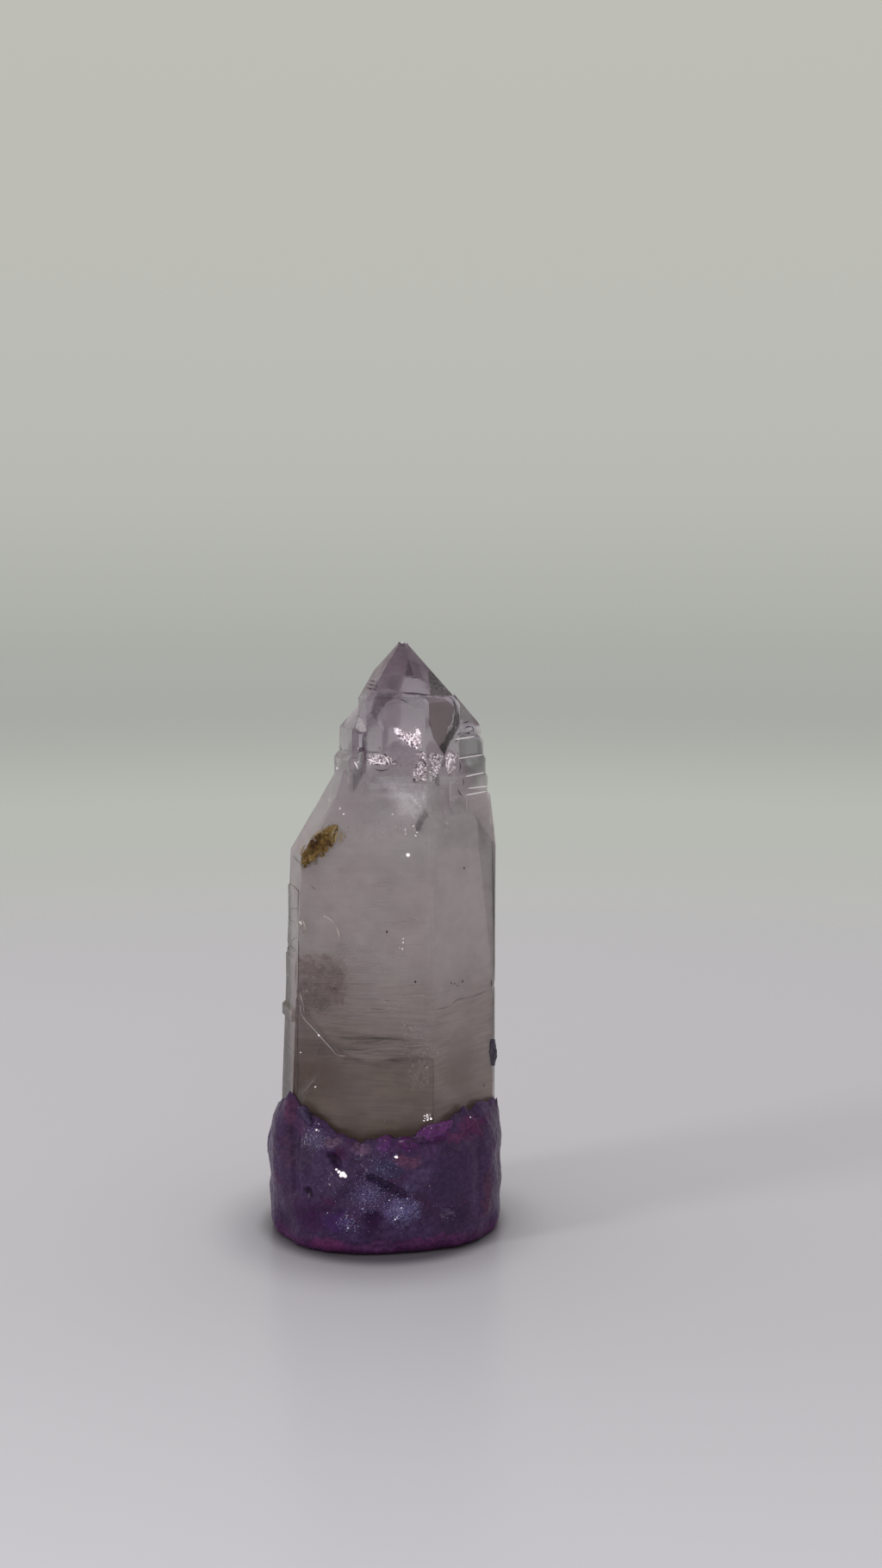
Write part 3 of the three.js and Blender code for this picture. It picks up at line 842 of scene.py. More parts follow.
# Corners of the crystal that are moved, and how far
RIGHT_EDGE_FROM = 11.7 * MM
RIGHT_EDGE_SHIFT = Vector((0.1, 0, 0)) * MM
SHOULDER_FROM = 11.3 * MM
SHOULDER_LOW = 43 * MM
SHOULDER_HIGH = 43.6 * MM
SHOULDER_SHIFT = Vector((0.42, 0, 1.6)) * MM
WING_TOP = Vector((7.41, -0.43, 58.32)) * MM
WING_TOP_SIZE = 0.3 * MM
WING_TOP_SHIFT = Vector((0.18, 0, 1.08)) * MM

# Its worn edges and its blunted point
EDGE_WEAR = 0.05 * MM
APEX_FROM = 64.2 * MM
APEX_WEAR = 0.22 * MM

# The cloudy heart and the layer of flecks are smaller copies of the crystal, drawn in about this place
SHRINK_CENTRE = (*AXIS_PLACE.xy, 8 * MM)
HEART_SHARE = (0.982, 0.93, 0.988)
FLECK_SHARE = (0.99, 0.972, 0.993)
HEART_FOOT = 5 * MM


def shift_where(piece, wanted, way):
    """Moves the points whose place is wanted."""
    edit_where(piece, wanted)
    bpy.ops.transform.translate(value=way)
    close_edit()


def build_crystal():
    """The crystal, with its right shoulder and wing sloped, its point blunted and its edges a bit worn."""
    crystal = merged_copy("amethyst_crystal", "crystal")
    shift_where(crystal, lambda place: place.x > RIGHT_EDGE_FROM, RIGHT_EDGE_SHIFT)
    shift_where(crystal, lambda place: place.x > SHOULDER_FROM and SHOULDER_LOW < place.z < SHOULDER_HIGH,
                SHOULDER_SHIFT)
    shift_where(crystal, lambda place: (place - WING_TOP).length < WING_TOP_SIZE, WING_TOP_SHIFT)
    edit(crystal)
    bpy.ops.mesh.dissolve_limited(angle_limit=math.radians(0.5))
    close_edit()
    finish_with(crystal, "BEVEL", width=EDGE_WEAR, segments=2, limit_method="ANGLE",
                angle_limit=math.radians(12))
    edit_where(crystal, lambda place: place.z > APEX_FROM)
    bpy.ops.mesh.bevel(offset=APEX_WEAR, segments=3, profile=0.5, affect="EDGES", clamp_overlap=True)
    close_edit()
    dress(crystal, amethyst(crystal), "amethyst", "amethyst_crystal")
    return crystal


# Tones of the cloudy heart, from the foot up
FOOT_TONE = (0.60, 0.47, 0.39)
MAUVE_TONE = (1.0, 0.93, 0.94)
PINK_TONE = (1.0, 0.93, 0.97)
BLOCK_TONE = (0.56, 0.44, 0.43)
SILK_TONE = (1.0, 0.93, 0.95)
STREAK_TONE = (0.40, 0.33, 0.31)
SHOULDER_TONE = (1.0, 0.97, 1.0)
NECK_TONE = (0.96, 0.88, 0.95)
TIP_TONE = (0.58, 0.47, 0.55)
# Painted light behind the head's light pane
PANE_TONE = (0.95, 0.88, 0.94)

# Ovals of another tone in it: face, middle in pixels, half sizes in millimetres, tone
BROWN_OVAL = (FRONT, (366, 1145), (4.8, 5, 4.4), (0.74, 0.64, 0.64))
RIGHT_FOOT_OVAL = (FRONT_RIGHT, (540, 1245), (4.5, 5, 6), (0.47, 0.37, 0.32))
OLIVE_OVAL = (FRONT, (362, 1252), (5.5, 5, 6), (0.40, 0.27, 0.20))

# Heights between which it changes, and the wings' widths and heights, in millimetres
TO_MAUVE = (14, 36)
TO_PINK = (44, 50)
TO_STREAKS = (32, 22)
TO_NECK_TONE = (50, 54)
TO_TIP_TONE = (58.4, 60)
TO_THIN = (42, 54)
TO_THICK_TIP = (59, 60.5)
TO_LEFT_WING = ((-1.2, -2.0), (50, 53))
TO_RIGHT_WING = ((7.4, 8.2), (47, 51))

# How much the heart covers
PRISM_COVER = 0.74
HEAD_COVER = 0.40
SHOULDER_COVER = 0.9
WING_COVER = 0.12
TIP_COVER = 0.55


def oval(paint, tone, face, middle, size, other):
    """Lays another tone over a tone, in a soft oval about a pixel on a face."""
    return paint.mix(paint.near(face.at(middle) / MM, size, 0.2), tone, other)


def heart_areas(paint):
    """The heart's tone in the prism: olive-brown at the foot, mauve-grey above, with a brown block."""
    tone = paint.mix(paint.rise("Z", *TO_MAUVE), FOOT_TONE, MAUVE_TONE)
    tone = paint.mix(paint.rise("Z", *TO_PINK), tone, PINK_TONE)
    tone = oval(paint, tone, *BROWN_OVAL)
    speckle = paint.span(paint.cloud(0.9, 6, rough=0.65), 0.38, 0.6, 0.1, 1)
    block = paint.math("MULTIPLY", paint.patch(FRONT, BROWN_BLOCK, 1.0, 0.9, depth=3), speckle)
    tone = paint.mix(block, tone, BLOCK_TONE)
    tone = oval(paint, tone, *RIGHT_FOOT_OVAL)
    return oval(paint, tone, *OLIVE_OVAL)


def heart_tone(paint, shoulder):
    """The heart's areas, with level silky and dark streaks, the light shoulder, the head's tones and
    painted light at the light pane.
    """
    silk = paint.cloud(2.2, 5, paint.stretched((0.1, 0.1, 1.3), (0, 3, 0)))
    tone = paint.mix(paint.span(silk, 0.35, 0.7, 0, 0.22), heart_areas(paint), SILK_TONE)
    grain = paint.cloud(0.5, 5, paint.stretched((0.14, 0.14, 1.5), (0, 2, 0)))
    streaked = paint.math("MULTIPLY", paint.span(grain, 0.42, 0.66, 0, 0.5), paint.rise("Z", *TO_STREAKS))
    tone = paint.mix(streaked, tone, STREAK_TONE)
    tone = paint.mix(shoulder, tone, SHOULDER_TONE)
    tone = paint.mix(paint.rise("Z", *TO_NECK_TONE), tone, NECK_TONE)
    tone = paint.mix(paint.rise("Z", *TO_TIP_TONE), tone, TIP_TONE)
    # Painted light: paler behind the head's light pane
    return paint.mix(paint.patch(TIP_FRONT, LIGHT_PANE, 0.3, depth=3), tone, PANE_TONE)


def heart_cover(paint, shoulder):
    """How much the heart covers: less upwards, more at the shoulder and the tip, little in the wings."""
    cover = paint.span(paint.rise("Z", *TO_THIN), 0, 1, PRISM_COVER, HEAD_COVER)
    cover = paint.span(shoulder, 0, 1, cover, SHOULDER_COVER)
    left, right = (paint.math("MULTIPLY", paint.rise("X", *wide), paint.rise("Z", *high))
                   for wide, high in (TO_LEFT_WING, TO_RIGHT_WING))
    cover = paint.span(paint.math("ADD", left, right), 0, 1, cover, WING_COVER)
    cover = paint.span(paint.rise("Z", *TO_THICK_TIP), 0, 1, cover, TIP_COVER)
    puffs = paint.span(paint.cloud(4.0, 4), 0.35, 0.65, 0.85, 1.15)
    return paint.math("MULTIPLY", cover, puffs, clamp=True)


def milky_quartz():
    """The cloudy heart of the crystal, thick in the prism and thin in the head."""
    paint = Shading("milky quartz")
    shoulder = paint.patch(FRONT, SHOULDER, 2.4, 0.25, depth=4)
    paint.surface(Base_Color=heart_tone(paint, shoulder), Roughness=1.0, Specular_IOR_Level=0.0)
    paint.surface(Alpha=heart_cover(paint, shoulder))
    return paint.material


def build_heart():
    """The cloudy heart inside the crystal, a little way in from its faces."""
    heart = merged_copy("amethyst_crystal", "milky_heart")
    edit(heart)
    bpy.ops.transform.resize(value=HEART_SHARE, center_override=SHRINK_CENTRE)
    bpy.ops.mesh.bisect(plane_co=(0, 0, HEART_FOOT), plane_no=(0, 0, 1), clear_inner=True, use_fill=True)
    close_edit()
    dress(heart, milky_quartz(), "amethyst")


# Fine detail of the crystal, in pixels of the photograph

HEAD_LINE_ROUTES = [[(466, 803.6), (472, 804.4), (480, 805), (490, 806.2), (500, 806.8)]]
DARK_EDGE_ROUTES = [
    [(460, 811.3), (468, 813), (474, 816.3)],
    [(477, 785), (481, 786.5), (486, 785)],
    [(449, 785.6), (457, 786.4)],
]
LEFT_EDGE_ROUTES = [
    [(427, 840), (422.4, 852), (421.2, 863), (422.6, 876), (423.6, 887)],
]
STEP_ROUTES = [
    [(429.5, 789.5), (433, 790.5), (438, 792)],
    [(427.5, 793.5), (432, 795), (438.5, 797)],
    [(425.5, 798), (431, 799.5), (437.5, 801.5)],
]
LIGHT_TIP_ROUTES = [
    [(446.3, 819), (454, 814), (464, 811.3), (476, 809)],
    [(450, 784), (458, 782.6), (465, 781.6)],
    [(440, 802), (452, 801), (462, 802.4)],
    [(426, 915.6), (441, 915), (455, 916), (471, 919.3)],
]
CRESCENT_ROUTES = [
    [(526.6, 828), (525.4, 836), (521, 846), (515.6, 856)],
    [(521.6, 840.5), (520.4, 844), (518.6, 848)],
    [(524.8, 826), (526, 832), (524, 839)],
]
LEDGE_ROUTES = [
    [(528, 858.4), (531, 857.9), (548, 855.4), (551, 855)],
    [(532, 880.6), (536, 879.9), (557, 876.6), (560.5, 876)],
    [(540, 901.6), (543, 900.9), (560, 897.2), (563, 896.6)],
    [(543, 915), (546, 914.7), (563, 912.8), (566, 912.4)],
    [(541, 923), (545, 922.3), (562, 919.2), (565.6, 918.6)],
]
RIPPLE_ROUTES = [
    [(537.5, 839.5), (541, 838.4), (546, 836.6)],
    [(539, 846.4), (543, 843.6), (548, 844)],
    [(538, 850.4), (544, 851), (549.6, 847)],
    [(547, 843), (549.6, 846), (549, 850)],
    [(533.6, 884), (534.6, 890), (533.2, 897)],
    [(537.4, 903), (538.4, 908), (537.2, 912)],
    [(532, 916), (534, 921), (538, 925)],
    [(531, 853.6), (533, 852), (534.6, 850.4)],
    [(528.6, 862.4), (530, 860), (532, 858.6)],
    [(434, 892.4), (443, 894.6), (452, 892)],
]
# The light sliver at the point's left edge is a painted highlight
LIGHT_SLIVER_MIDDLE = (438, 782)
LIGHT_SLIVER = [(445.3, 769), (436.4, 791), (430.5, 789), (436.4, 778.3), (442.3, 771)]
# Painted shade along the head's left edge
DARK_CURVE = [
    [(438, 806), (461, 804.5), (454, 812), (446, 818), (435, 812)],
    [(447, 816), (436, 808), (428, 832), (432, 840), (441, 826)],
    [(428, 829), (434, 836), (427, 853), (421.5, 864), (421.5, 847)],
    [(421, 860), (425.5, 852), (425, 880), (422.6, 889), (420, 874)],
]
# Painted shade along the head's right edge
OUTER_BAND = [
    [(525, 806), (527.4, 804), (531.6, 824), (534.6, 832), (529, 830)],
    [(528.2, 829.6), (534.8, 830.8), (535.2, 839), (531.6, 847), (525.6, 841)],
    [(525.6, 841), (531.6, 847), (529.6, 850.4), (523.6, 863.6), (518, 872), (514.4, 861), (519.6, 853.2)],
    [(514.4, 861), (519.6, 868), (516, 878), (510.2, 866.6)],
]
FEATHER = [
    [(500, 929), (503, 935), (492.5, 953), (487.5, 948)],
    [(492.5, 951), (487.5, 947), (482, 957), (483.6, 967), (489, 963)],
]
UPPER_FEATHER = [
    [(504, 902), (511, 901), (510, 912), (505, 911)],
    [(517.5, 879.5), (521, 883), (513, 893), (510.6, 890)],
]
CLOUDY_WEDGE = [[(399, 840), (412, 823), (424, 808), (433, 814), (428, 832), (416, 846)]]
# Painted light across the head's front
LIGHT_BAND = [[(468, 807.5), (495, 809), (496, 821), (488, 823), (463, 813)]]
ROUGH_AREA = [[(498, 778), (501, 779), (524, 803), (525, 807), (500, 807)]]
DUSKY_PATCH = [[(446, 786), (460, 784), (464, 797), (453, 800), (443, 796)]]
NECK_HAZE = [[(438, 866), (492, 872), (495, 905), (436, 905)]]
UPPER_HAZE = [[(384, 946), (430, 932), (500, 934), (500, 985), (370, 985)]]
WING_HAZE = [[(533, 812), (539, 815), (546, 830), (551, 835), (546, 839), (535, 839)]]
PALE_STREAK_ROUTES = [
    [(541.4, 925), (541.8, 933), (541.6, 942)],
    [(514.6, 925), (514.2, 938), (514.8, 950)],
    [(514, 958), (519, 955), (523, 963)],
    [(481.4, 955), (481.6, 963), (482, 971)],
    [(470.2, 961), (470.6, 965), (470.4, 970)],
]

# Healed breaks in the head, strewn with glowing flakes that are painted glints: face, flakes for each
# square millimetre, outline
SPARKLES = [
    (HEAD_FRONT, 64, [(454, 845), (461, 843), (470, 848), (478, 850), (482, 843.5), (488, 845), (491, 858),
                      (491, 868), (486, 872), (475, 867), (460, 856)]),
    (HEAD_FRONT, 24, [(484, 872), (497, 870.6), (497, 910), (480, 910), (478, 894), (486, 882)]),
    (HEAD_FRONT, 27, [(426, 878), (438, 872), (452, 876), (464, 886), (468, 890), (450, 890), (438, 888),
                      (426, 888)]),
    (HEAD_RIGHT, 21, [(498, 870.6), (513, 876), (515, 888), (507, 902), (500, 910), (498, 910)]),
    (HEAD_RIGHT, 32, [(515, 873), (527, 870), (532, 874), (528, 886), (524, 902), (518, 900), (512, 886)]),
]

# Their depth, the depth from one to the next, their cells and waves, and those of the flakes' layers
BREAK_INSET = 0.22
BREAK_STEP = 0.03
BREAK_CELL = 0.12
BREAK_WAVE = (0.35, 0.6)
FLAKE_CELL = 0.3
FLAKE_WAVE = (0.25, 0.9)
FLAKE_DRIFT = 0.12
FLAKE_SIZES = (0.07, 0.32)
SPARK_SIZES = (0.16, 0.3)
SPARK_INSET = -0.02
SPECK_INSET = 0.05
# Bright streaks and single sparks, which glow: painted glints
BRIGHT_STREAK_ROUTES = [
    [(426, 881), (431, 882.6), (437, 884.6)],
    [(433, 886.5), (440, 885.6), (448, 887.4)],
    [(446, 878), (450, 882), (452, 888)],
    [(459.5, 845), (461, 849), (465, 853)],
    [(484, 845.5), (486, 851), (489, 856)],
    [(524, 876), (522, 884), (520.4, 892)],
    [(411, 884), (414, 888), (416, 893)],
]
SPARKS = [
    (398.9, 869.7), (415.7, 868.7), (415.3, 884.5), (391.5, 892), (382, 929), (395, 938.3), (399, 945),
    (455.6, 945), (470.5, 963), (471, 968), (480, 959), (482.5, 970), (484, 966), (499, 896), (546, 850),
]

# Lines on the head: name, finish, inset and width in millimetres, routes
HEAD_LINES = [
    # Painted shade: the next four lines, dark along the edges and steps of the point
    ("tip_lines", "dusky", 0.03, 0.11, DARK_EDGE_ROUTES),
    ("head_line", "dusky", 0.0, 0.24, HEAD_LINE_ROUTES),
    ("left_edge_lines", "dusky", 0.05, 0.13, LEFT_EDGE_ROUTES),
    ("step_lines", "dusky", 0.05, 0.2, STEP_ROUTES),
    ("ripple_lines", "dusky", 0.03, 0.16, RIPPLE_ROUTES),
    # Painted highlights: the next two lines, pale along the point's edges and in a crescent
    ("pale_tip_lines", "pale", 0.03, 0.08, LIGHT_TIP_ROUTES),
    ("crescent", "pale", 0.05, 0.2, CRESCENT_ROUTES),
    ("pale_streaks", "pale", 0.06, 0.2, PALE_STREAK_ROUTES),
    # Painted light: the ledges' upper edges glow
    ("ledge_lines", "ledge", -0.02, 0.15, LEDGE_ROUTES),
]

# Soft areas: name, face or a pixel on it, inset in millimetres, colour, cover, outlines, softness in
# millimetres, glow, which is painted light
HEAD_VEILS = [
    # Painted shade along the head's left edge
    ("dark_curve", HEAD_FRONT, 0.12, (0.13, 0.07, 0.12), 0.48, DARK_CURVE, 0.35, 0),
    # Painted shade along the head's right edge
    ("outer_band", HEAD_RIGHT, 0.06, (0.10, 0.06, 0.085), 0.8, OUTER_BAND, 0.2, 0),
    ("dusky_patch", TIP_FRONT, 0.1, (0.22, 0.14, 0.20), 0.18, DUSKY_PATCH, 0.6, 0),
    # Painted light across the head's front
    ("light_band", HEAD_FRONT, 0.1, (0.92, 0.92, 0.94), 0.5, LIGHT_BAND, 0.35, 0),
    ("feather", FRONT, 0.15, (0.22, 0.16, 0.20), 0.5, FEATHER, 0.35, 0),
    ("upper_feather", HEAD_RIGHT, 0.1, (0.22, 0.16, 0.20), 0.5, UPPER_FEATHER, 0.35, 0),
    ("cloudy_wedge", LEFT_SLOPE, 0.1, (0.97, 0.91, 0.95), 0.55, CLOUDY_WEDGE, 0.35, 0),
    ("rough_murk", TIP_RIGHT, 0.1, (0.24, 0.19, 0.19), 0.4, ROUGH_AREA, 0.2, 0),
    ("wing_haze", WING_SLOPE, 0.05, (0.62, 0.63, 0.59), 0.65, WING_HAZE, 0.3, 0),
    ("neck_haze", HEAD_FRONT, 0.36, (1.0, 0.94, 0.97), 0.3, NECK_HAZE, 1.0, 0),
    # A pale haze on the shoulder whose glow is painted light
    ("light_shoulder", FRONT, 0.12, (1.0, 0.95, 0.98), 0.6, [SHOULDER], 2.2, 0.12),
    # A pale haze over the upper prism whose faint glow is painted light
    ("upper_haze", FRONT, 0.2, (1.0, 0.97, 0.98), 0.24, UPPER_HAZE, 4.0, 0.08),
]
VEIL_MARGIN_PX = 3
MM_PER_PX = 0.0925
VEIL_CELL = 0.3
VEIL_WAVE = (0.06, 1.5)
RAGGED_SHARE = 0.4
RAGGED_MOST = 0.25

# Thin see-through layers, by name: colour, cover
LAYERS = {
    # Used for pale marks and painted highlights
    "pale quartz and painted highlights": ((0.92, 0.86, 0.90), 0.6),
    # Used for dark marks and painted shade
    "dusky quartz and painted shade": ((0.12, 0.07, 0.12), 0.7),
    "pale crumbs": ((0.95, 0.90, 0.88), 0.22),
    "dark crumbs": ((0.14, 0.10, 0.10), 0.14),
    # Painted shade along the prism's edges
    "edge shade line": ((0.15, 0.13, 0.13), 0.5),
    "pale fleck": ((1.0, 0.95, 0.95), 0.4),
    "pale body quartz": ((0.97, 0.92, 0.90), 0.55),
    "dark body quartz": ((0.16, 0.12, 0.12), 0.33),
    "cream quartz": ((1.0, 0.93, 0.86), 0.75),
    "dark speck": ((0.10, 0.07, 0.08), 0.85),
    "pale ochre": ((0.62, 0.48, 0.27), 0.7),
}

# Tones of the glowing flakes, which are painted glints, and of the grains in the healed breaks
PAINTED_GLINT_TONE = (1.0, 0.94, 0.96)
BREAK_DARK = (0.16, 0.10, 0.13)
BREAK_PINK = (0.68, 0.57, 0.60)
BREAK_WHITE = (1.0, 0.93, 0.95)


def tinted(name):
    """A thin see-through layer of one colour."""
    colour, cover = LAYERS[name]
    paint = Shading(name)
    paint.surface(Base_Color=colour, Roughness=0.6, Specular_IOR_Level=0.2, Alpha=cover)
    return paint.material


def hazy(name, face, colour, cover, outlines, soft, glow):
    """A thin layer of one colour, which may glow as painted light, with soft edges, inside outlines of
    pixels on a face.
    """
    paint = Shading(name)
    area = 0
    ragged = min(RAGGED_SHARE * soft, RAGGED_MOST)
    for outline in outlines:
        area = paint.math("MAXIMUM", area, paint.patch(face, outline, soft, ragged, depth=2))
    lumps = paint.span(paint.cloud(0.4, 4), 0.3, 0.7, 0.8 * cover, 1.15 * cover)
    paint.surface(Base_Color=colour, Roughness=0.8, Specular_IOR_Level=0.1)
    # The glow is painted light
    paint.surface(Emission_Color=colour, Emission_Strength=glow)
    paint.surface(Alpha=paint.math("MULTIPLY", area, lumps, clamp=True))
    return paint.material


def veils(body, areas):
    """Thin hazy sheets behind a body's faces, tucked inside it; each is a bit larger than its outlines."""
    for name, face, inset, colour, cover, outlines, soft, glow in areas:
        if isinstance(face, tuple):
            face = Facet(body, face)
        columns = [pixel[0] for outline in outlines for pixel in outline]
        rows = [pixel[1] for outline in outlines for pixel in outline]
        margin = VEIL_MARGIN_PX + soft / 2 / MM_PER_PX
        left, right = min(columns) - margin, max(columns) + margin
        top, bottom = min(rows) - margin, max(rows) + margin
        around = [(left, top), (right, top), (right, bottom), (left, bottom)]
        piece = sheet(name, face, inset, VEIL_CELL, around, *VEIL_WAVE)
        finish_with(piece, "SHRINKWRAP", target=body, wrap_method="NEAREST_SURFACEPOINT",
                    wrap_mode="INSIDE", offset=inset * MM)
        dress(piece, hazy(name.replace("_", " "), face, colour, cover, outlines, soft, glow), "amethyst")


def painted_glint():
    """White flakes with a trace of pink, which glow inside the crystal: painted glints."""
    paint = Shading("painted_glint")
    paint.surface(Base_Color=PAINTED_GLINT_TONE, Roughness=0.3, Metallic=0.3)
    # The glow is painted light, standing in for glints
    paint.surface(Emission_Color=PAINTED_GLINT_TONE, Emission_Strength=0.6)
    return paint.material


def ledge_light():
    """The upper edges of the growth ledges, which glow faintly: painted light."""
    paint = Shading("ledge light")
    paint.surface(Base_Color=(1.0, 0.97, 0.98), Roughness=0.5, Alpha=0.9)
    # The glow is painted light
    paint.surface(Emission_Color=(1.0, 0.96, 0.98), Emission_Strength=0.14)
    return paint.material


def healed_break():
    """An old break inside the crystal: dark, pink and white grains, with gaps."""
    paint = Shading("healed break")
    grain = paint.grains(0.28)
    tone = paint.mix(paint.span(grain, 0.3, 0.5), BREAK_DARK, BREAK_PINK)
    tone = paint.mix(paint.span(grain, 0.55, 0.7), tone, BREAK_WHITE)
    grains = paint.span(paint.cloud(0.55, 5), 0.42, 0.54, 0, 0.9, smooth=True)
    paint.surface(Base_Color=tone, Roughness=0.35, Alpha=grains)
    return paint.material


def draw(surface, lines, finishes):
    """Draws fine lines on the crystal's faces."""
    for name, finish, inset, width, routes in lines:
        dress(threads(name, surface, inset, width, routes), finishes[finish], "amethyst")


def build_head_marks(crystal):
    """The dark and light lines, the bright sliver and the soft areas of the head and the shoulders; many of
    them are painted shade, painted highlights and painted light.
    """
    pale = tinted("pale quartz and painted highlights")
    dusky = tinted("dusky quartz and painted shade")
    draw(Surface(crystal), HEAD_LINES, {"dusky": dusky, "pale": pale, "ledge": ledge_light()})
    sliver = plate("light_sliver", Facet(crystal, LIGHT_SLIVER_MIDDLE), 0.05, 0.02, LIGHT_SLIVER)
    dress(sliver, pale, "amethyst")
    veils(crystal, HEAD_VEILS)


def build_sparkles(crystal):
    """Healed breaks inside the head, strewn with bright flakes, and single sparks around them; flakes,
    streaks and sparks glow as painted glints.
    """
    chip = flake("shard", 0.15, corners=5, narrow=0.6)
    bright = painted_glint()
    broken = healed_break()
    surface = Surface(crystal)
    for index, (face, crowding, outline) in enumerate(SPARKLES):
        inset = BREAK_INSET + BREAK_STEP * index
        layer = sheet(f"healed_break_{index}", face, inset, BREAK_CELL, outline, *BREAK_WAVE)
        keep_within(layer, crystal)
        flakes = sheet(f"bright_flakes_{index}", face, inset, FLAKE_CELL, outline, *FLAKE_WAVE)
        keep_within(flakes, crystal)
        strew(flakes, chip, FLAKE_SIZES, 11 + index, per_mm2=crowding, drift=FLAKE_DRIFT)
        dress(layer, broken, "amethyst")
        dress(flakes, bright, "amethyst")
    dress(threads("bright_streaks", surface, 0.05, 0.16, BRIGHT_STREAK_ROUTES), bright, "amethyst")
    sparks = wire("single_sparks", [surface.at(pixel, SPARK_INSET) for pixel in SPARKS])
    strew(sparks, chip, SPARK_SIZES, 31)
    dress(sparks, bright, "amethyst")
    bpy.data.objects.remove(chip)


# Fine detail of the prism, in pixels of the photograph

BODY_PALE_ROUTES = [
    [(390, 1009.7), (392.9, 1007.7), (396.9, 1008.1), (394.5, 1011.2), (390.9, 1012)],
    [(385, 1019.5), (388, 1022.5), (387, 1025)],
    [(462, 1064), (466, 1063.6), (470, 1064.6)],
    [(472, 1064), (476, 1064), (480, 1065)],
    [(480, 1065), (486, 1068), (490, 1073)],
    [(347, 1154), (350, 1161), (354, 1170)],
    [(395, 1217.3), (418.6, 1221.2), (438.4, 1218.2), (478, 1217.3)],
    [(410.7, 1227), (458.2, 1222.2), (478, 1227)],
    [(458, 1205), (480, 1205), (498, 1206.4)],
    [(365, 1112.5), (375, 1115), (393, 1116)],
    [(400, 1181), (420, 1183), (440, 1182)],
    [(350, 1270), (357, 1262), (366, 1252)],
]
CRACK_ROUTES = [
    [(348.5, 1164), (349.5, 1176), (354, 1184), (360, 1190), (371.2, 1202.6), (383, 1215.6), (392, 1225),
     (403, 1225.6)],
    [(347, 1150), (350, 1160), (352.4, 1171), (354, 1184)],
]
CREAM_ROUTES = [
    [(376, 1063), (379, 1064.4), (385, 1069), (389, 1075)],
    [(387, 1073), (392, 1080), (393.6, 1086), (393.4, 1092)],
    [(345.8, 1066), (344.8, 1074), (344.4, 1083)],
    [(349, 1066), (353, 1072), (355, 1083)],
    [(346.4, 1067), (348.4, 1071), (351, 1068)],
    [(374.6, 1066.4), (376.6, 1063.4), (377.6, 1060.4)],
]
BODY_DARK_ROUTES = [
    [(507.6, 1171.8), (515, 1170.5), (523.4, 1167.8)],
    [(523.4, 1167.8), (529, 1162), (533.3, 1159.9), (544, 1158.5)],
    [(544, 1158.5), (557, 1154), (566, 1149.5)],
    [(351, 1180), (360, 1191.5), (372, 1205), (384, 1218), (394, 1228)],
    [(379, 1201.5), (399, 1205.5), (418.6, 1206.4), (450, 1205.4), (478, 1204.4)],
    [(402.8, 1215), (418.6, 1210.3), (434.4, 1209.3), (454.2, 1203.4)],
    [(430, 1220), (458, 1222), (470, 1221.5)],
    [(392, 1216), (410, 1219), (430, 1218)],
    [(430, 1171), (440, 1172), (448, 1171.5)],
    [(446, 1162), (449, 1161.6), (452, 1162)],
    [(365, 1173.5), (375, 1172.5), (384, 1164)],
    [(360, 1027), (364, 1031), (367, 1034)],
]
# Sparks that glow: painted glints
BODY_SPARKS = [(468, 1089.7), (468, 1094), (467, 1101.6), (464, 1100), (508, 1221.8), (370.2, 1201.8),
               (366.2, 1261.7), (349, 1221.5), (496, 1296), (348.5, 1070), (349.5, 1072)]
BODY_SPECKS = [(449.3, 1081.8), (481.9, 1139.7), (524, 1141), (528, 1142), (531.3, 1144), (537.2, 1139),
               (539.2, 1007.7), (562.5, 1259.8), (388, 1147), (497, 878), (441, 868)]
FROST_INSET = 0.3
FROST_CELL = 0.4
FROST_WAVE = (0.3, 2.0)
FROST_VEIL = [(464, 1185), (500, 1183), (501, 1225), (500, 1262), (478, 1272), (470, 1235)]
# A glowing bead: a painted highlight
BRIGHT_PIT = (473.8, 992.4)
BRIGHT_PIT_SIZE = 0.4
LIMONITE = [(343, 1003), (347, 990), (357, 976), (368, 966), (379, 957), (389, 955), (394, 961), (391, 972),
            (386, 984), (378, 994), (366, 1001), (352, 1010)]
LIMONITE_CORE = [(347, 1001), (352, 989), (366, 972), (380, 961), (389, 960), (389, 972), (382, 985),
                 (370, 996), (354, 1004)]
LIMONITE_STREAKS = [(386, 958), (394, 960), (403, 966), (403, 974), (397, 982), (391, 986), (386, 976)]
LIMONITE_PALE_ROUTES = [
    [(389.8, 959.6), (386.8, 966), (385.6, 973)],
    [(394.4, 962), (390.8, 970), (389.8, 979)],
    [(360, 974), (369, 966.6), (378, 960.4)],
    [(354, 981), (351, 987), (349, 993)],
]
LIMONITE_HAZE = [[(346, 994), (353, 988), (364, 993), (367, 1003), (352, 1009), (346, 1005)]]
# Painted shade along the prism's left edge and beside it
EDGE_ROUTES = [
    [(346.2, 1012), (346, 1060), (346, 1110), (346, 1170)],
    [(346, 1168), (345.6, 1210), (345.4, 1250), (345, 1292)],
    [(339.6, 993), (344, 997.5), (349.5, 1004)],
    [(337, 1026), (343, 1030), (349, 1038)],
    [(335.4, 1097), (340, 1100), (345, 1106)],
    [(332.4, 1055), (336, 1063), (341, 1070)],
    [(333, 1088), (338, 1098), (343, 1105)],
]
# Painted shade along the prism's right edge
RIGHT_EDGE_ROUTES = [
    [(570.6, 958), (572.6, 1010), (573.2, 1060), (573.2, 1110)],
    [(573.2, 1108), (573.2, 1160), (573.2, 1200), (573.2, 1266)],
    [(570.5, 1137), (570.8, 1141), (571, 1146)],
]

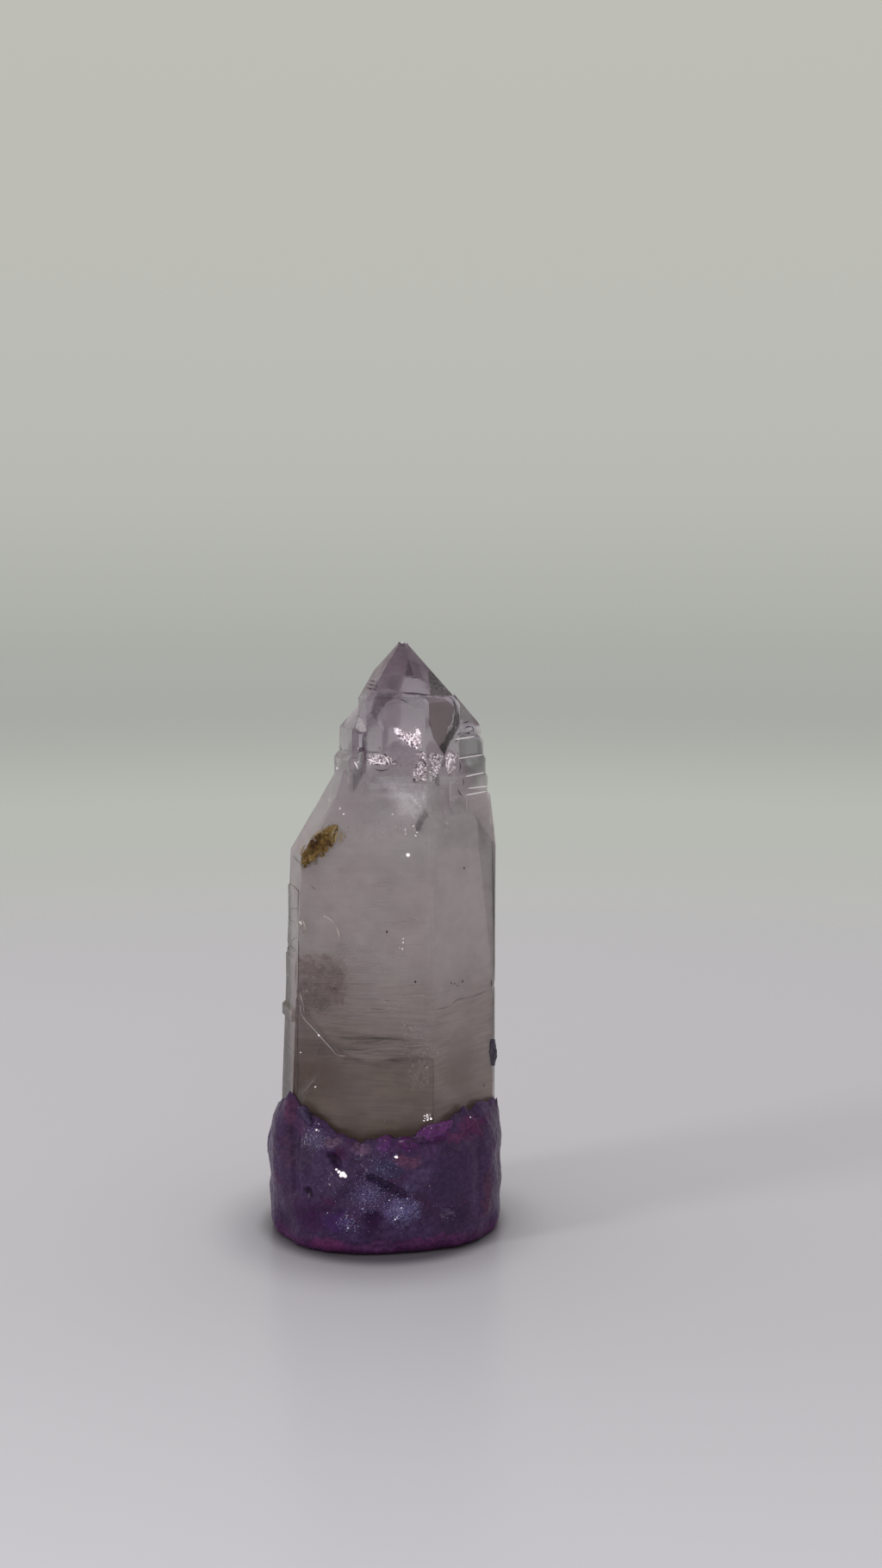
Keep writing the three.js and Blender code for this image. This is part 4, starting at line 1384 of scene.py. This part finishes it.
# Crumbs: name, crumbs of each tone for each square millimetre, outline
CRUMB_FIELDS = [
    ("brown", 3.5, [(348, 1114), (392, 1113), (394, 1150), (378, 1172), (348, 1172)]),
    ("frost", 2.0, [(465, 1188), (500, 1186), (501, 1262), (470, 1270)]),
]
CRUMB_INSET = 0.12
CRUMB_CELL = 0.5
CRUMB_DRIFT = 0.08
CRUMB_SIZES = (0.1, 0.6)
CRUMB_SEED = 105

# Growth lines: name, number of each tone, and left, top, right and bottom of their area
STRIATION_FIELDS = [
    ("low", 46, (352, 1095, 505, 1240)),
    ("high", 6, (380, 1010, 500, 1080)),
]
STRIATION_LENGTH_PX = (10, 46)
STRIATION_LIFT_PX = 1.2
STRIATION_INSET = 0.08
STRIATION_WIDTH = 0.07
PALE_BAND = [
    [(348, 1268), (358, 1254), (368, 1250), (360, 1262), (350, 1278)],
    [(344, 1154), (350, 1158), (354, 1174), (347, 1176)],
    [(344, 1066), (350, 1064), (357, 1084), (346, 1084)],
]
DARK_WEDGE = [[(346, 1180), (352, 1184), (372, 1206), (388, 1226), (380, 1232), (347, 1226)]]

# Lines and soft areas of the prism, as those of the head
# Painted shade along the edges
EDGE_LINES = [
    ("left_edge", "edge", 0.06, 0.14, EDGE_ROUTES),
    ("right_edge", "edge", 0.06, 0.22, RIGHT_EDGE_ROUTES),
]
BODY_LINES = [
    ("pale_body_lines", "pale", 0.1, 0.1, BODY_PALE_ROUTES),
    ("dark_body_lines", "dark", 0.12, 0.12, BODY_DARK_ROUTES),
    ("cream_lines", "cream", 0.04, 0.16, CREAM_ROUTES),
    ("pale_crack", "pale", 0.04, 0.15, CRACK_ROUTES),
]
BODY_VEILS = [
    ("pale_band", FRONT, 0.14, (0.92, 0.86, 0.84), 0.3, PALE_BAND, 0.8, 0),
    ("dark_wedge", FRONT, 0.14, (0.20, 0.16, 0.15), 0.12, DARK_WEDGE, 0.9, 0),
]
LIMONITE_VEILS = [
    ("ochre_haze", FRONT, 0.05, (0.36, 0.27, 0.17), 0.42, LIMONITE_HAZE, 0.6, 0),
]
BODY_SPARK_SIZES = (0.12, 0.24)
BODY_SPECK_SIZES = (0.18, 0.32)
FLECK_SIZES = (0.05, 0.22)
FLECKS_PER_MM2 = 0.14


def striations(name, surface, count, area, seed):
    """Slim level growth lines, strewn over an area of the front."""
    luck = random.Random(seed)
    left, top, right, bottom = area
    routes = []
    for _ in range(count):
        length = luck.uniform(*STRIATION_LENGTH_PX)
        start = luck.uniform(left, right - length)
        row = luck.uniform(top, bottom)
        lift = [luck.uniform(-STRIATION_LIFT_PX, STRIATION_LIFT_PX) for _ in range(3)]
        routes.append([(start + length * step / 3, row + shift) for step, shift in enumerate([0] + lift)])
    return threads(name, surface, STRIATION_INSET, STRIATION_WIDTH, routes)


def build_body_texture(surface):
    """Faint crumbs, growth lines and soft areas on the prism's front, and dark lines of painted shade along
    its edges.
    """
    pale = tinted("pale crumbs")
    dark = tinted("dark crumbs")
    chip = flake("shard", 0.1, corners=4, narrow=0.35)
    for index, (name, crowding, outline) in enumerate(CRUMB_FIELDS):
        for shade, (tone, material) in enumerate((("pale", pale), ("dark", dark))):
            crumbs = sheet(f"{name}_{tone}_crumbs", FRONT, CRUMB_INSET, CRUMB_CELL, outline)
            strew(crumbs, chip, CRUMB_SIZES, CRUMB_SEED + 10 * index + shade, per_mm2=crowding, tilt=70,
                  drift=CRUMB_DRIFT)
            dress(crumbs, material, "amethyst")
    bpy.data.objects.remove(chip)
    for index, (name, count, area) in enumerate(STRIATION_FIELDS):
        dress(striations(f"{name}_pale_lines", surface, count, area, 7 + index), pale, "amethyst")
        dress(striations(f"{name}_dark_lines", surface, count, area, 17 + index), dark, "amethyst")
    draw(surface, EDGE_LINES, {"edge": tinted("edge shade line")})
    veils(surface.piece, BODY_VEILS)


def build_inner_flecks():
    """Faint pale flecks just inside all faces of the crystal."""
    flecks = merged_copy("amethyst_crystal", "inner_flecks")
    edit(flecks)
    bpy.ops.transform.resize(value=FLECK_SHARE, center_override=SHRINK_CENTRE)
    close_edit()
    chip = flake("fleck", 0.1)
    strew(flecks, chip, FLECK_SIZES, 97, per_mm2=FLECKS_PER_MM2)
    dress(flecks, tinted("pale fleck"), "amethyst")
    bpy.data.objects.remove(chip)


def bead(name, place, size, material, slot):
    """A small flattened bead."""
    pick()
    bpy.ops.mesh.primitive_uv_sphere_add(segments=12, ring_count=8, radius=size / 2 * MM, location=place)
    piece = bpy.context.object
    piece.name = name
    apply_place(piece)
    edit(piece)
    bpy.ops.transform.resize(value=(1, 0.6, 0.95), center_override=place)
    close_edit()
    dress(piece, material, slot)


def frost_veil_finish():
    """A pale layer that breaks up into small clouds."""
    paint = Shading("frost veil")
    clouds = paint.span(paint.cloud(0.5, 5), 0.42, 0.6, 0, 0.3, smooth=True)
    paint.surface(Base_Color=(0.95, 0.90, 0.90), Roughness=0.6, Specular_IOR_Level=0.2, Alpha=clouds)
    return paint.material


def build_body_marks(surface):
    """Cracks, striations, a frosty veil, sparks and specks in and on the prism's front; the sparks and a
    bright bead glow as painted glints and a painted highlight.
    """
    pale = tinted("pale body quartz")
    dark = tinted("dark body quartz")
    cream = tinted("cream quartz")
    draw(surface, BODY_LINES, {"pale": pale, "dark": dark, "cream": cream})
    veil = sheet("frost_veil", FRONT, FROST_INSET, FROST_CELL, FROST_VEIL, *FROST_WAVE)
    dress(veil, frost_veil_finish(), "amethyst")
    chip = flake("chip", 0.3)
    sparks = wire("body_sparks", [surface.at(pixel, SPARK_INSET) for pixel in BODY_SPARKS])
    strew(sparks, chip, BODY_SPARK_SIZES, 41)
    dress(sparks, painted_glint(), "amethyst")
    specks = wire("body_specks", [surface.at(pixel, SPECK_INSET) for pixel in BODY_SPECKS])
    strew(specks, chip, BODY_SPECK_SIZES, 43)
    dress(specks, tinted("dark speck"), "amethyst")
    bpy.data.objects.remove(chip)
    # A painted highlight: a glowing bead
    bead("bright_pit", surface.at(BRIGHT_PIT), BRIGHT_PIT_SIZE, painted_glint(), "amethyst")


# The limonite's tones; a pair is mixed by a cloudy pattern
CRUST_TONES = ((0.10, 0.046, 0.011), (0.33, 0.21, 0.065))
CRUST_GRAIN_TONE = (0.50, 0.38, 0.18)
CORE_OVAL = (FRONT, (368, 980), (2.2, 2, 1.6))
CORE_TONES = ((0.05, 0.022, 0.008), (0.22, 0.12, 0.03))
STAIN_TONE = (0.40, 0.28, 0.12)

# The crust starts in front of the crystal and is laid on it: distances, cell and thickness in millimetres
CRUST_START = -0.3
CRUST_GAP = 0.05
CRUST_CELL = 0.12
CRUST_THICKNESS = 0.04
STAIN_INSET = -0.04
STAIN_CELL = 0.3


def limonite_crust():
    """Ochre-brown iron staining, darker in its core, with a ragged edge."""
    paint = Shading("limonite")
    lumps = paint.cloud(0.7, 6, rough=0.65)
    tone = paint.mix(paint.span(lumps, 0.38, 0.62), *CRUST_TONES)
    tone = paint.mix(paint.span(paint.grains(0.2), 0.55, 0.85, 0, 0.6), tone, CRUST_GRAIN_TONE)
    tone = oval(paint, tone, *CORE_OVAL, paint.mix(paint.span(lumps, 0.4, 0.6), *CORE_TONES))
    paint.surface(Base_Color=tone, Roughness=0.85, Specular_IOR_Level=0.3)
    body = paint.patch(FRONT, LIMONITE_CORE, 1.1, 0.5, depth=3)
    paint.surface(Alpha=paint.span(body, 0.15, 0.5))
    paint.surface(Normal=paint.relief(lumps, 0.15, 0.9))
    return paint.material


def limonite_stain():
    """Thin pale ochre streaks beside the crust."""
    paint = Shading("limonite stain")
    strokes = paint.cloud(0.5, 5, paint.stretched((1, 1, 0.35), (0, -30, 0)))
    paint.surface(Base_Color=STAIN_TONE, Roughness=0.8)
    area = paint.patch(FRONT, LIMONITE_STREAKS, 0.8, 0.3, depth=2)
    strokes = paint.span(strokes, 0.42, 0.62, 0, 0.7, smooth=True)
    paint.surface(Alpha=paint.math("MULTIPLY", strokes, area))
    return paint.material


def build_limonite(surface):
    """A crust of limonite in the chip at the crystal's left shoulder, and stains about it."""
    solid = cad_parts["amethyst_crystal"]
    crust = sheet("limonite_crust", FRONT, CRUST_START, CRUST_CELL, LIMONITE)
    finish_with(crust, "SHRINKWRAP", target=solid, wrap_method="NEAREST_SURFACEPOINT",
                offset=CRUST_GAP * MM, wrap_mode="ABOVE_SURFACE")
    ruffle(crust, 0.5, 0.16)
    ruffle(crust, 0.16, 0.06)
    finish_with(crust, "SOLIDIFY", thickness=CRUST_THICKNESS * MM, offset=-1)
    dress(crust, limonite_crust(), "amethyst")
    stain = sheet("limonite_stain", FRONT, STAIN_INSET, STAIN_CELL, LIMONITE_STREAKS)
    dress(stain, limonite_stain(), "amethyst")
    ochre = tinted("pale ochre")
    dress(threads("pale_ochre_lines", surface, -0.05, 0.26, LIMONITE_PALE_ROUTES), ochre, "amethyst")
    veils(surface.piece, LIMONITE_VEILS)


# Putty; a place is a pixel of the photograph or, where the camera doesn't see it, three millimetres

PUTTY_TONES = ((0.076, 0.036, 0.112), (0.11, 0.050, 0.155))
WINE_TONE = (0.11, 0.014, 0.085)
FOOT_RIM_TONE = (0.135, 0.028, 0.135)
# The mica's colour and its painted sheen
DUST_AND_SHEEN_TONE = (0.27, 0.24, 0.46)
FINE_DARK_TONE = (0.034, 0.016, 0.056)
GRAIN_TONE = (0.20, 0.15, 0.30)
MICA_TONES = ((0.26, 0.22, 0.52), (0.58, 0.58, 0.86))

# Zones of colour, a few of them painted shade: place, half width and half height in millimetres, tone
ZONE_DEPTH = 3
PUTTY_ZONES = [
    ((352, 1335), (2.4, 3.0), (0.082, 0.051, 0.105)),
    ((575, 1292), (1.0, 1.6), (0.14, 0.090, 0.16)),
    ((364, 1323), (1.4, 1.0), (0.17, 0.115, 0.21)),
    ((337, 1290), (1.2, 2.6), (0.16, 0.058, 0.14)),
    ((334, 1335), (1.0, 3.2), (0.11, 0.050, 0.115)),
    ((395, 1380), (2.4, 1.8), (0.10, 0.060, 0.15)),
    ((358, 1412), (3.0, 2.4), (0.065, 0.008, 0.085)),
    # Painted shade in a dent
    ((360, 1383), (0.7, 0.7), (0.02, 0.003, 0.03)),
    ((392, 1418), (2.2, 1.6), (0.085, 0.025, 0.17)),
    ((428, 1386), (2.6, 1.5), (0.12, 0.065, 0.20)),
    ((466, 1408), (3.0, 1.8), (0.19, 0.125, 0.34)),
    ((433, 1416), (1.5, 1.5), (0.045, 0.004, 0.065)),
    ((450, 1358), (2.8, 1.2), (0.07, 0.055, 0.14)),
    ((473, 1346), (2.0, 0.5), (0.21, 0.072, 0.155)),
    ((476, 1352), (1.6, 0.4), (0.20, 0.078, 0.17)),
    # Painted shade in the notch
    ((388, 1346), (0.7, 0.6), (0.055, 0.014, 0.06)),
    # Painted shade in the crease under the ridge
    ((450, 1376), (2.2, 0.4), (0.040, 0.016, 0.075)),
    ((521, 1375), (3.4, 4.2), (0.074, 0.038, 0.12)),
    ((528, 1416), (2.4, 1.4), (0.060, 0.028, 0.092)),
    ((519, 1406), (0.9, 0.7), (0.20, 0.13, 0.26)),
    ((547, 1308), (2.4, 1.5), (0.17, 0.030, 0.13)),
    ((527, 1322), (1.2, 0.9), (0.20, 0.046, 0.155)),
    ((567, 1385), (0.8, 4.2), (0.13, 0.040, 0.10)),
    ((505, 1316), (2.2, 0.9), (0.20, 0.030, 0.23)),
    ((448, 1330), (1.6, 0.9), (0.15, 0.030, 0.20)),
    ((474, 1330), (1.6, 0.8), (0.13, 0.020, 0.16)),
    ((387, 1325), (1.2, 0.6), (0.25, 0.14, 0.24)),
    ((418, 1332), (1.6, 0.5), (0.22, 0.11, 0.22)),
    ((380, 1446), (2.6, 1.1), (0.24, 0.046, 0.19)),
    ((500, 1441), (6.0, 1.0), (0.195, 0.046, 0.188)),
    ((437, 1448), (3.0, 0.8), (0.21, 0.070, 0.23)),
    ((372, 1350), (1.6, 1.9), (0.105, 0.062, 0.155)),
    ((402, 1361), (1.4, 0.9), (0.095, 0.054, 0.137)),
    ((400, 1395), (1.2, 1.4), (0.15, 0.090, 0.21)),
    ((440, 1397), (1.2, 0.8), (0.136, 0.066, 0.19)),
    ((474, 1380), (1.6, 0.8), (0.12, 0.080, 0.20)),
    ((490, 1365), (1.6, 1.2), (0.14, 0.080, 0.205)),
    ((500, 1336), (1.6, 0.7), (0.14, 0.062, 0.186)),
    ((375, 1401), (1.3, 1.0), (0.066, 0.014, 0.085)),
    ((350, 1308), (1.0, 1.4), (0.139, 0.062, 0.155)),
    ((411, 1346), (1.0, 0.6), (0.067, 0.036, 0.100)),
    ((480, 1430), (3.0, 0.9), (0.122, 0.062, 0.185)),
    ((410, 1435), (2.0, 0.9), (0.120, 0.056, 0.19)),
    ((545, 1352), (1.8, 2.6), (0.078, 0.038, 0.122)),
    ((335, 1388), (1.2, 3.0), (0.080, 0.032, 0.102)),
    ((-7.5, 9, 7), (3.4, 2.6), (0.12, 0.026, 0.115)),
    ((2.5, 11, 10.5), (4.0, 2.0), (0.095, 0.062, 0.18)),
    ((7.5, 9, 5), (2.8, 2.6), (0.055, 0.024, 0.09)),
    ((-1.5, 11, 3.5), (4.2, 1.4), (0.15, 0.022, 0.13)),
    # Painted shade along the crease at the back
    ((-2.5, 11, 7.5), (2.4, 1.0), (0.035, 0.014, 0.06)),
    ((12.5, 3, 8.5), (2.6, 2.4), (0.11, 0.05, 0.16)),
    ((-12.6, 3, 7), (2.6, 3.0), (0.12, 0.030, 0.12)),
]

# Folds and dents: places along them, reach and height in millimetres
PUTTY_STROKES = [
    ([(384, 1341), (389, 1346), (392, 1351)], 0.5, -0.65),
    ([(391, 1358), (398, 1363)], 0.6, 0.4),
    ([(433, 1363), (447, 1370), (460, 1377), (472, 1384)], 0.8, 0.4),
    ([(431, 1369), (445, 1376), (456, 1382), (468, 1389)], 0.6, -0.85),
    ([(406, 1378), (402, 1392), (399, 1406)], 0.8, -0.15),
    ([(341.5, 1284), (341.5, 1310), (343, 1345), (344, 1380)], 0.8, -0.4),
    ([(519, 1334), (540, 1322), (561, 1303)], 0.8, -0.4),
    ([(395, 1380)], 1.8, 0.45),
    ([(433, 1390)], 2.0, 0.45),
    ([(466, 1404)], 1.7, 0.4),
    ([(433, 1417)], 1.3, -0.45),
    ([(357, 1384)], 0.6, -0.4),
    ([(457, 1341), (474, 1342), (490, 1343)], 0.35, -0.2),
    ([(458, 1350), (486, 1352)], 0.4, 0.2),
    ([(555, 1335), (555, 1390)], 0.6, -0.15),
    ([(400, 1421)], 1.0, 0.3),
    ([(517, 1408), (536, 1410)], 0.7, -0.25),
    ([(378, 1330), (386, 1336)], 0.8, 0.35),
    ([(400, 1340), (418, 1345)], 0.6, -0.25),
    ([(330, 1424)], 2.6, -0.6),
    ([(569, 1421)], 2.2, -0.5),
    ([(-7.5, 9, 8)], 3.2, -0.6),
    ([(-1, 11, 5)], 2.6, 0.4),
    ([(4, 10.4, 8.5)], 3.0, -0.55),
    ([(9, 8, 5)], 2.6, 0.4),
    ([(-3.5, 10.6, 9.5), (-1.5, 10.8, 8.2), (0.5, 10.8, 7.4)], 0.8, -0.45),
    ([(12.6, 2, 9), (12.7, 0.5, 6)], 1.0, -0.35),
    ([(-12.4, 4, 6)], 2.4, -0.45),
    ([(-12.6, 0.5, 11), (-12.8, 0.2, 8)], 0.9, 0.35),
]
STROKE_CORE = 0.2

# Parts of the rim that are moved: place, reach, and the move in millimetres
PUTTY_LIFTS = [
    ([(335, 1279)], 1.4, (0.15, 0, 1.15)),
    ([(572, 1281)], 0.9, (-0.1, 0, 0.4)),
    ([(549, 1286)], 1.3, (0, 0, -0.8)),
]

# Lumps on the rim, their light tones painted light that comes through thin putty: name, place, half width
# and half height in millimetres, lean in degrees, tone
PUTTY_LOBES = [
    ("violet_lobe", (447, 1327), (1.1, 0.7), 0, (0.14, 0.032, 0.19)),
    ("magenta_lobe", (473, 1327), (1.45, 0.75), 5, (0.14, 0.022, 0.17)),
    ("bright_lobe", (500, 1315), (1.8, 0.8), 22, (0.165, 0.027, 0.205)),
    ("small_lobe", (515, 1308), (1.1, 0.55), 34, (0.18, 0.030, 0.21)),
    ("dark_lobe", (488, 1322), (1.3, 0.6), 12, (0.075, 0.014, 0.10)),
    ("left_lobe", (357, 1296), (1.4, 0.5), -50, (0.09, 0.05, 0.15)),
    ("pink_lobe", (388, 1326), (1.3, 0.5), -18, (0.21, 0.12, 0.20)),
    ("thin_lobe", (418, 1331), (1.4, 0.35), -4, (0.19, 0.09, 0.18)),
]
LOBE_DEPTH = 0.6
LOBE_STAND = 0.55

# Mica: name, flakes for each square millimetre, place, reach in millimetres
MICA_FIELDS = [
    ("mica_bright", 230, (468, 1407), 2.4),
    ("mica_mound", 90, (428, 1388), 2.7),
    ("mica_streak", 120, (404, 1423), 1.6),
    ("mica_rim", 90, (366, 1321), 1.9),
    ("mica_plateau", 40, (445, 1355), 2.4),
    ("mica_right", 35, (519, 1407), 1.3),
    ("mica_thin", 5, (430, 1375), 8),
    ("mica_back", 14, (2.5, 11, 9), 5),
]
DUST_AND_SHEEN_FIELDS = MICA_FIELDS[:4]
MICA_SIZES = (0.03, 0.115)
# Sparks that glow: painted glints
PUTTY_SPARKS = [
    (370, 1312.6), (498.7, 1376.4), (451.8, 1393), (459, 1415), (461, 1413), (380.5, 1407.7),
    (367.5, 1311.5), (447.5, 1324), (514, 1315), (546, 1297), (404, 1425), (466, 1402),
]
PUTTY_SPARK_SIZES = (0.12, 0.26)
PUTTY_SPARK_LIFT = 0.05 * MM

# Painted highlights, glowing beads: place, size in millimetres
HIGHLIGHT_DROP = ((460, 1343.5), 0.42)
HIGHLIGHT_BEADS = [
    ((390.6, 1357.6), 0.28), ((393.6, 1360.4), 0.38), ((398, 1363), 0.62), ((400.6, 1365), 0.44),
    ((396, 1364.6), 0.4),
]

# The smear on the right edge and the sparkle on the rim: insets, cells, waves and thickness in millimetres
SMEAR_INSET = -0.04
SMEAR_CELL = 0.1
SMEAR_WAVE = (0.2, 0.6)
SMEAR_THICKNESS = 0.12
SMEAR_TONE = (0.050, 0.028, 0.075)
SPARKLE_INSET = -0.1
SPARKLE_CELL = 0.2
SPARKLE_WAVE = (0.3, 0.5)
SPARKLE_SIZES = (0.08, 0.26)
SMEAR = [(569, 1206), (574, 1205), (576, 1212), (577, 1226), (574, 1238), (570, 1237), (568, 1222)]
# The sparkle's flakes glow: painted glints
RIM_SPARKLE = [(490, 1300), (494, 1287), (500, 1292), (504, 1298), (497, 1304)]


def putty_zones(paint, putty, tone):
    """Lays the zones of colour, a few of them painted shade, over a tone, with ragged outlines, and a
    wine-red rim at the very foot.
    """
    still, paint.place = paint.place, paint.warped(1.1, 0.9)
    tone = paint.mix(paint.rise("Z", 2.0, 0.5), tone, FOOT_RIM_TONE)
    for target, (wide, high), colour in PUTTY_ZONES:
        zone = paint.near(struck_place(putty, target) / MM, (wide, ZONE_DEPTH, high), 0.35)
        tone = paint.mix(zone, tone, colour)
    paint.place = still
    return tone


def mica_dust_and_sheen(paint, putty, tone):
    """Lays a blue-violet tone over a tone where most mica lies: partly the mica's colour, partly painted
    sheen.
    """
    dust_and_sheen = paint.span(paint.cloud(0.13, 2), 0.48, 0.62, 0, 0.36)
    for field in DUST_AND_SHEEN_FIELDS:
        target, reach = field[2:]
        shine = paint.near(struck_place(putty, target) / MM, (0.8 * reach,) * 3, 0.25)
        tone = paint.mix(paint.math("MULTIPLY", shine, dust_and_sheen), tone, DUST_AND_SHEEN_TONE)
    return tone


def putty_finish(putty):
    """Glossy purple putty with zones of wine red, blue-grey and violet, and a mica shimmer that is partly
    painted sheen.
    """
    paint = Shading("putty")
    folds = paint.cloud(4.0, 5, bend=0.6)
    tone = paint.mix(paint.span(folds, 0.38, 0.62), *PUTTY_TONES)
    wine = paint.cloud(2.2, 4, paint.stretched((1, 1, 1.5)), bend=0.3)
    tone = paint.mix(paint.span(wine, 0.56, 0.72, 0, 0.8), tone, WINE_TONE)
    tone = mica_dust_and_sheen(paint, putty, putty_zones(paint, putty, tone))
    fine = paint.cloud(0.45, 6, rough=0.6)
    tone = paint.mix(paint.span(fine, 0.35, 0.65, 0, 0.7), tone, FINE_DARK_TONE)
    tone = paint.mix(paint.span(paint.grains(0.11), 0.84, 0.94, 0, 0.4), tone, GRAIN_TONE)
    paint.surface(Base_Color=tone, Roughness=paint.span(fine, 0.3, 0.7, 0.28, 0.55))
    paint.surface(Coat_Weight=0.2, Coat_Roughness=0.08, Specular_IOR_Level=0.12)
    paint.surface(Normal=paint.relief(fine, 0.12, 0.8))
    return paint.material


def lobe_finish(name, colour):
    """Thin putty, a given tone with darker lumps; its brighter tones are painted light that comes through
    thin putty.
    """
    paint = Shading(name)
    lumps = paint.cloud(0.5, 5)
    dark = tuple(part * 0.45 for part in colour)
    paint.surface(Base_Color=paint.mix(paint.span(lumps, 0.35, 0.65), dark, colour))
    paint.surface(Roughness=0.3, Coat_Weight=0.3, Coat_Roughness=0.1, Specular_IOR_Level=0.3)
    paint.surface(Normal=paint.relief(lumps, 0.12, 0.6))
    return paint.material


def mica():
    """Blue-violet metallic flakes."""
    paint = Shading("mica")
    tone = paint.mix(paint.span(paint.grains(0.2), 0.3, 0.8), *MICA_TONES)
    paint.surface(Base_Color=tone, Metallic=1.0, Roughness=0.3)
    return paint.material


def nearest_on(route, place):
    """The shortest distance from a place to a line of places."""
    shortest = min((place - corner).length for corner in route)
    for start, end in zip(route, route[1:]):
        share = (place - start).dot(end - start) / (end - start).length_squared
        shortest = min(shortest, (place - start.lerp(end, min(max(share, 0), 1))).length)
    return shortest


def meeting(piece, target):
    """Whether, where and facing which way a piece is met by a target.

    A target is a pixel, whose line of sight is followed, or a place in millimetres, from which the
    nearest point of the piece is taken.
    """
    if len(target) == 2:
        return piece.ray_cast(CAMERA_PLACE, sight_line(target))[:3]
    return piece.closest_point_on_mesh(Vector(target) * MM)[:3]


def struck_place(piece, target):
    """The place alone of a meeting."""
    return meeting(piece, target)[1]


def stroke(piece, targets, reach, height=0, move=None):
    """Pulls a surface out, presses it in or moves it, along a line of targets; in millimetres."""
    hits = [meeting(piece, target) for target in targets]
    route = [place for struck, place, normal in hits if struck]
    way = sum((normal for struck, place, normal in hits if struck), Vector()).normalized() * height
    middle = sum(route, Vector()) / len(route)
    core = STROKE_CORE * MM
    limit = max((place - middle).length for place in route) + core
    edit_where(piece, lambda place: (place - middle).length < limit and nearest_on(route, place) < core)
    bpy.ops.transform.translate(value=Vector(move or way) * MM, use_proportional_edit=True,
                                proportional_edit_falloff="SMOOTH", proportional_size=reach * MM)
    close_edit()


def lobe(name, pixel, size, lean, colour):
    """A flattened lump of putty on the rim, against the crystal's front."""
    pick()
    bpy.ops.mesh.primitive_uv_sphere_add(
        segments=32, ring_count=16, radius=MM, location=FRONT.at(pixel, -LOBE_STAND),
        rotation=(0, math.radians(-lean), FRONT.turn), scale=(size[0], LOBE_DEPTH, size[1]))
    piece = bpy.context.object
    piece.name = name
    apply_place(piece)
    ruffle(piece, 0.8, 0.75)
    ruffle(piece, 0.3, 0.22)
    pick(piece)
    bpy.ops.object.shade_smooth()
    dress(piece, lobe_finish(name.replace("_", " "), colour), "putty")


def skin(piece, name, wanted):
    """A copy of the part of a surface whose places are wanted."""
    pick(piece)
    bpy.ops.object.duplicate()
    part = bpy.context.object
    part.name = name
    for key in list(part.keys()):
        del part[key]
    edit_where(part, lambda place: not wanted(place))
    bpy.ops.mesh.delete(type="VERT")
    close_edit()
    return part


def build_putty():
    """The putty foot, a finely divided copy into which its folds and dents are pressed, and its lumps."""
    putty = merged_copy("putty_base", "putty")
    edit(putty)
    bpy.ops.mesh.tris_convert_to_quads()
    close_edit()
    finish_with(putty, "SUBSURF", levels=2, render_levels=2)
    for targets, reach, height in PUTTY_STROKES:
        stroke(putty, targets, reach, height)
    for targets, reach, move in PUTTY_LIFTS:
        stroke(putty, targets, reach, move=move)
    ruffle(putty, 2.6, 0.35)
    ruffle(putty, 0.7, 0.12)
    build_mica(putty)
    pick(putty)
    bpy.ops.object.shade_smooth_by_angle(angle=math.radians(60))
    dress(putty, putty_finish(putty), "putty", "putty_base")
    for lump in PUTTY_LOBES:
        lobe(*lump)


def build_mica(putty):
    """Mica flakes strewn on the putty, and glowing sparks and beads that are painted glints and painted
    highlights.
    """
    chip = flake("chip", 0.1)
    shimmer = mica()
    for index, (name, crowding, target, reach) in enumerate(MICA_FIELDS):
        middle = struck_place(putty, target)
        field = skin(putty, name, lambda place: (place - middle).length < reach * MM)
        strew(field, chip, MICA_SIZES, 61 + index, per_mm2=crowding, tilt=45, drift=0.03,
              fade=(middle, reach * MM))
        dress(field, shimmer, "putty")
    hits = [meeting(putty, pixel) for pixel in PUTTY_SPARKS]
    sparks = wire("putty_sparks", [place + normal * PUTTY_SPARK_LIFT for struck, place, normal in hits])
    strew(sparks, chip, PUTTY_SPARK_SIZES, 71)
    dress(sparks, painted_glint(), "putty")
    bpy.data.objects.remove(chip)
    pixel, size = HIGHLIGHT_DROP
    bead("bright_drop", struck_place(putty, pixel), size, painted_glint(), "putty")
    for index, (pixel, size) in enumerate(HIGHLIGHT_BEADS):
        bead(f"wet_bead_{index}", struck_place(putty, pixel), size, painted_glint(), "putty")


def build_smear():
    """A smear of putty high on the crystal's right edge, and a sparkle of glowing flakes, painted glints,
    on the rim.
    """
    smear = sheet("putty_smear", FRONT_RIGHT, SMEAR_INSET, SMEAR_CELL, SMEAR, *SMEAR_WAVE)
    finish_with(smear, "SOLIDIFY", thickness=SMEAR_THICKNESS * MM, offset=0)
    dress(smear, lobe_finish("thin smear", SMEAR_TONE), "putty")
    chip = flake("chip", 0.1)
    sparkle = sheet("rim_sparkle", FRONT, SPARKLE_INSET, SPARKLE_CELL, RIM_SPARKLE, *SPARKLE_WAVE)
    strew(sparkle, chip, SPARKLE_SIZES, 83, per_mm2=22, tilt=60, drift=0.1)
    dress(sparkle, painted_glint(), "putty")
    bpy.data.objects.remove(chip)


def main():
    """Builds the scene."""
    bpy.context.scene.view_settings.view_transform = "Standard"
    build_camera()
    build_floor()
    build_world()
    build_lamp()
    build_heart()
    build_inner_flecks()
    crystal = build_crystal()
    surface = Surface(crystal)
    build_head_marks(crystal)
    build_sparkles(crystal)
    build_body_texture(surface)
    build_body_marks(surface)
    build_limonite(surface)
    build_putty()
    build_smear()


main()
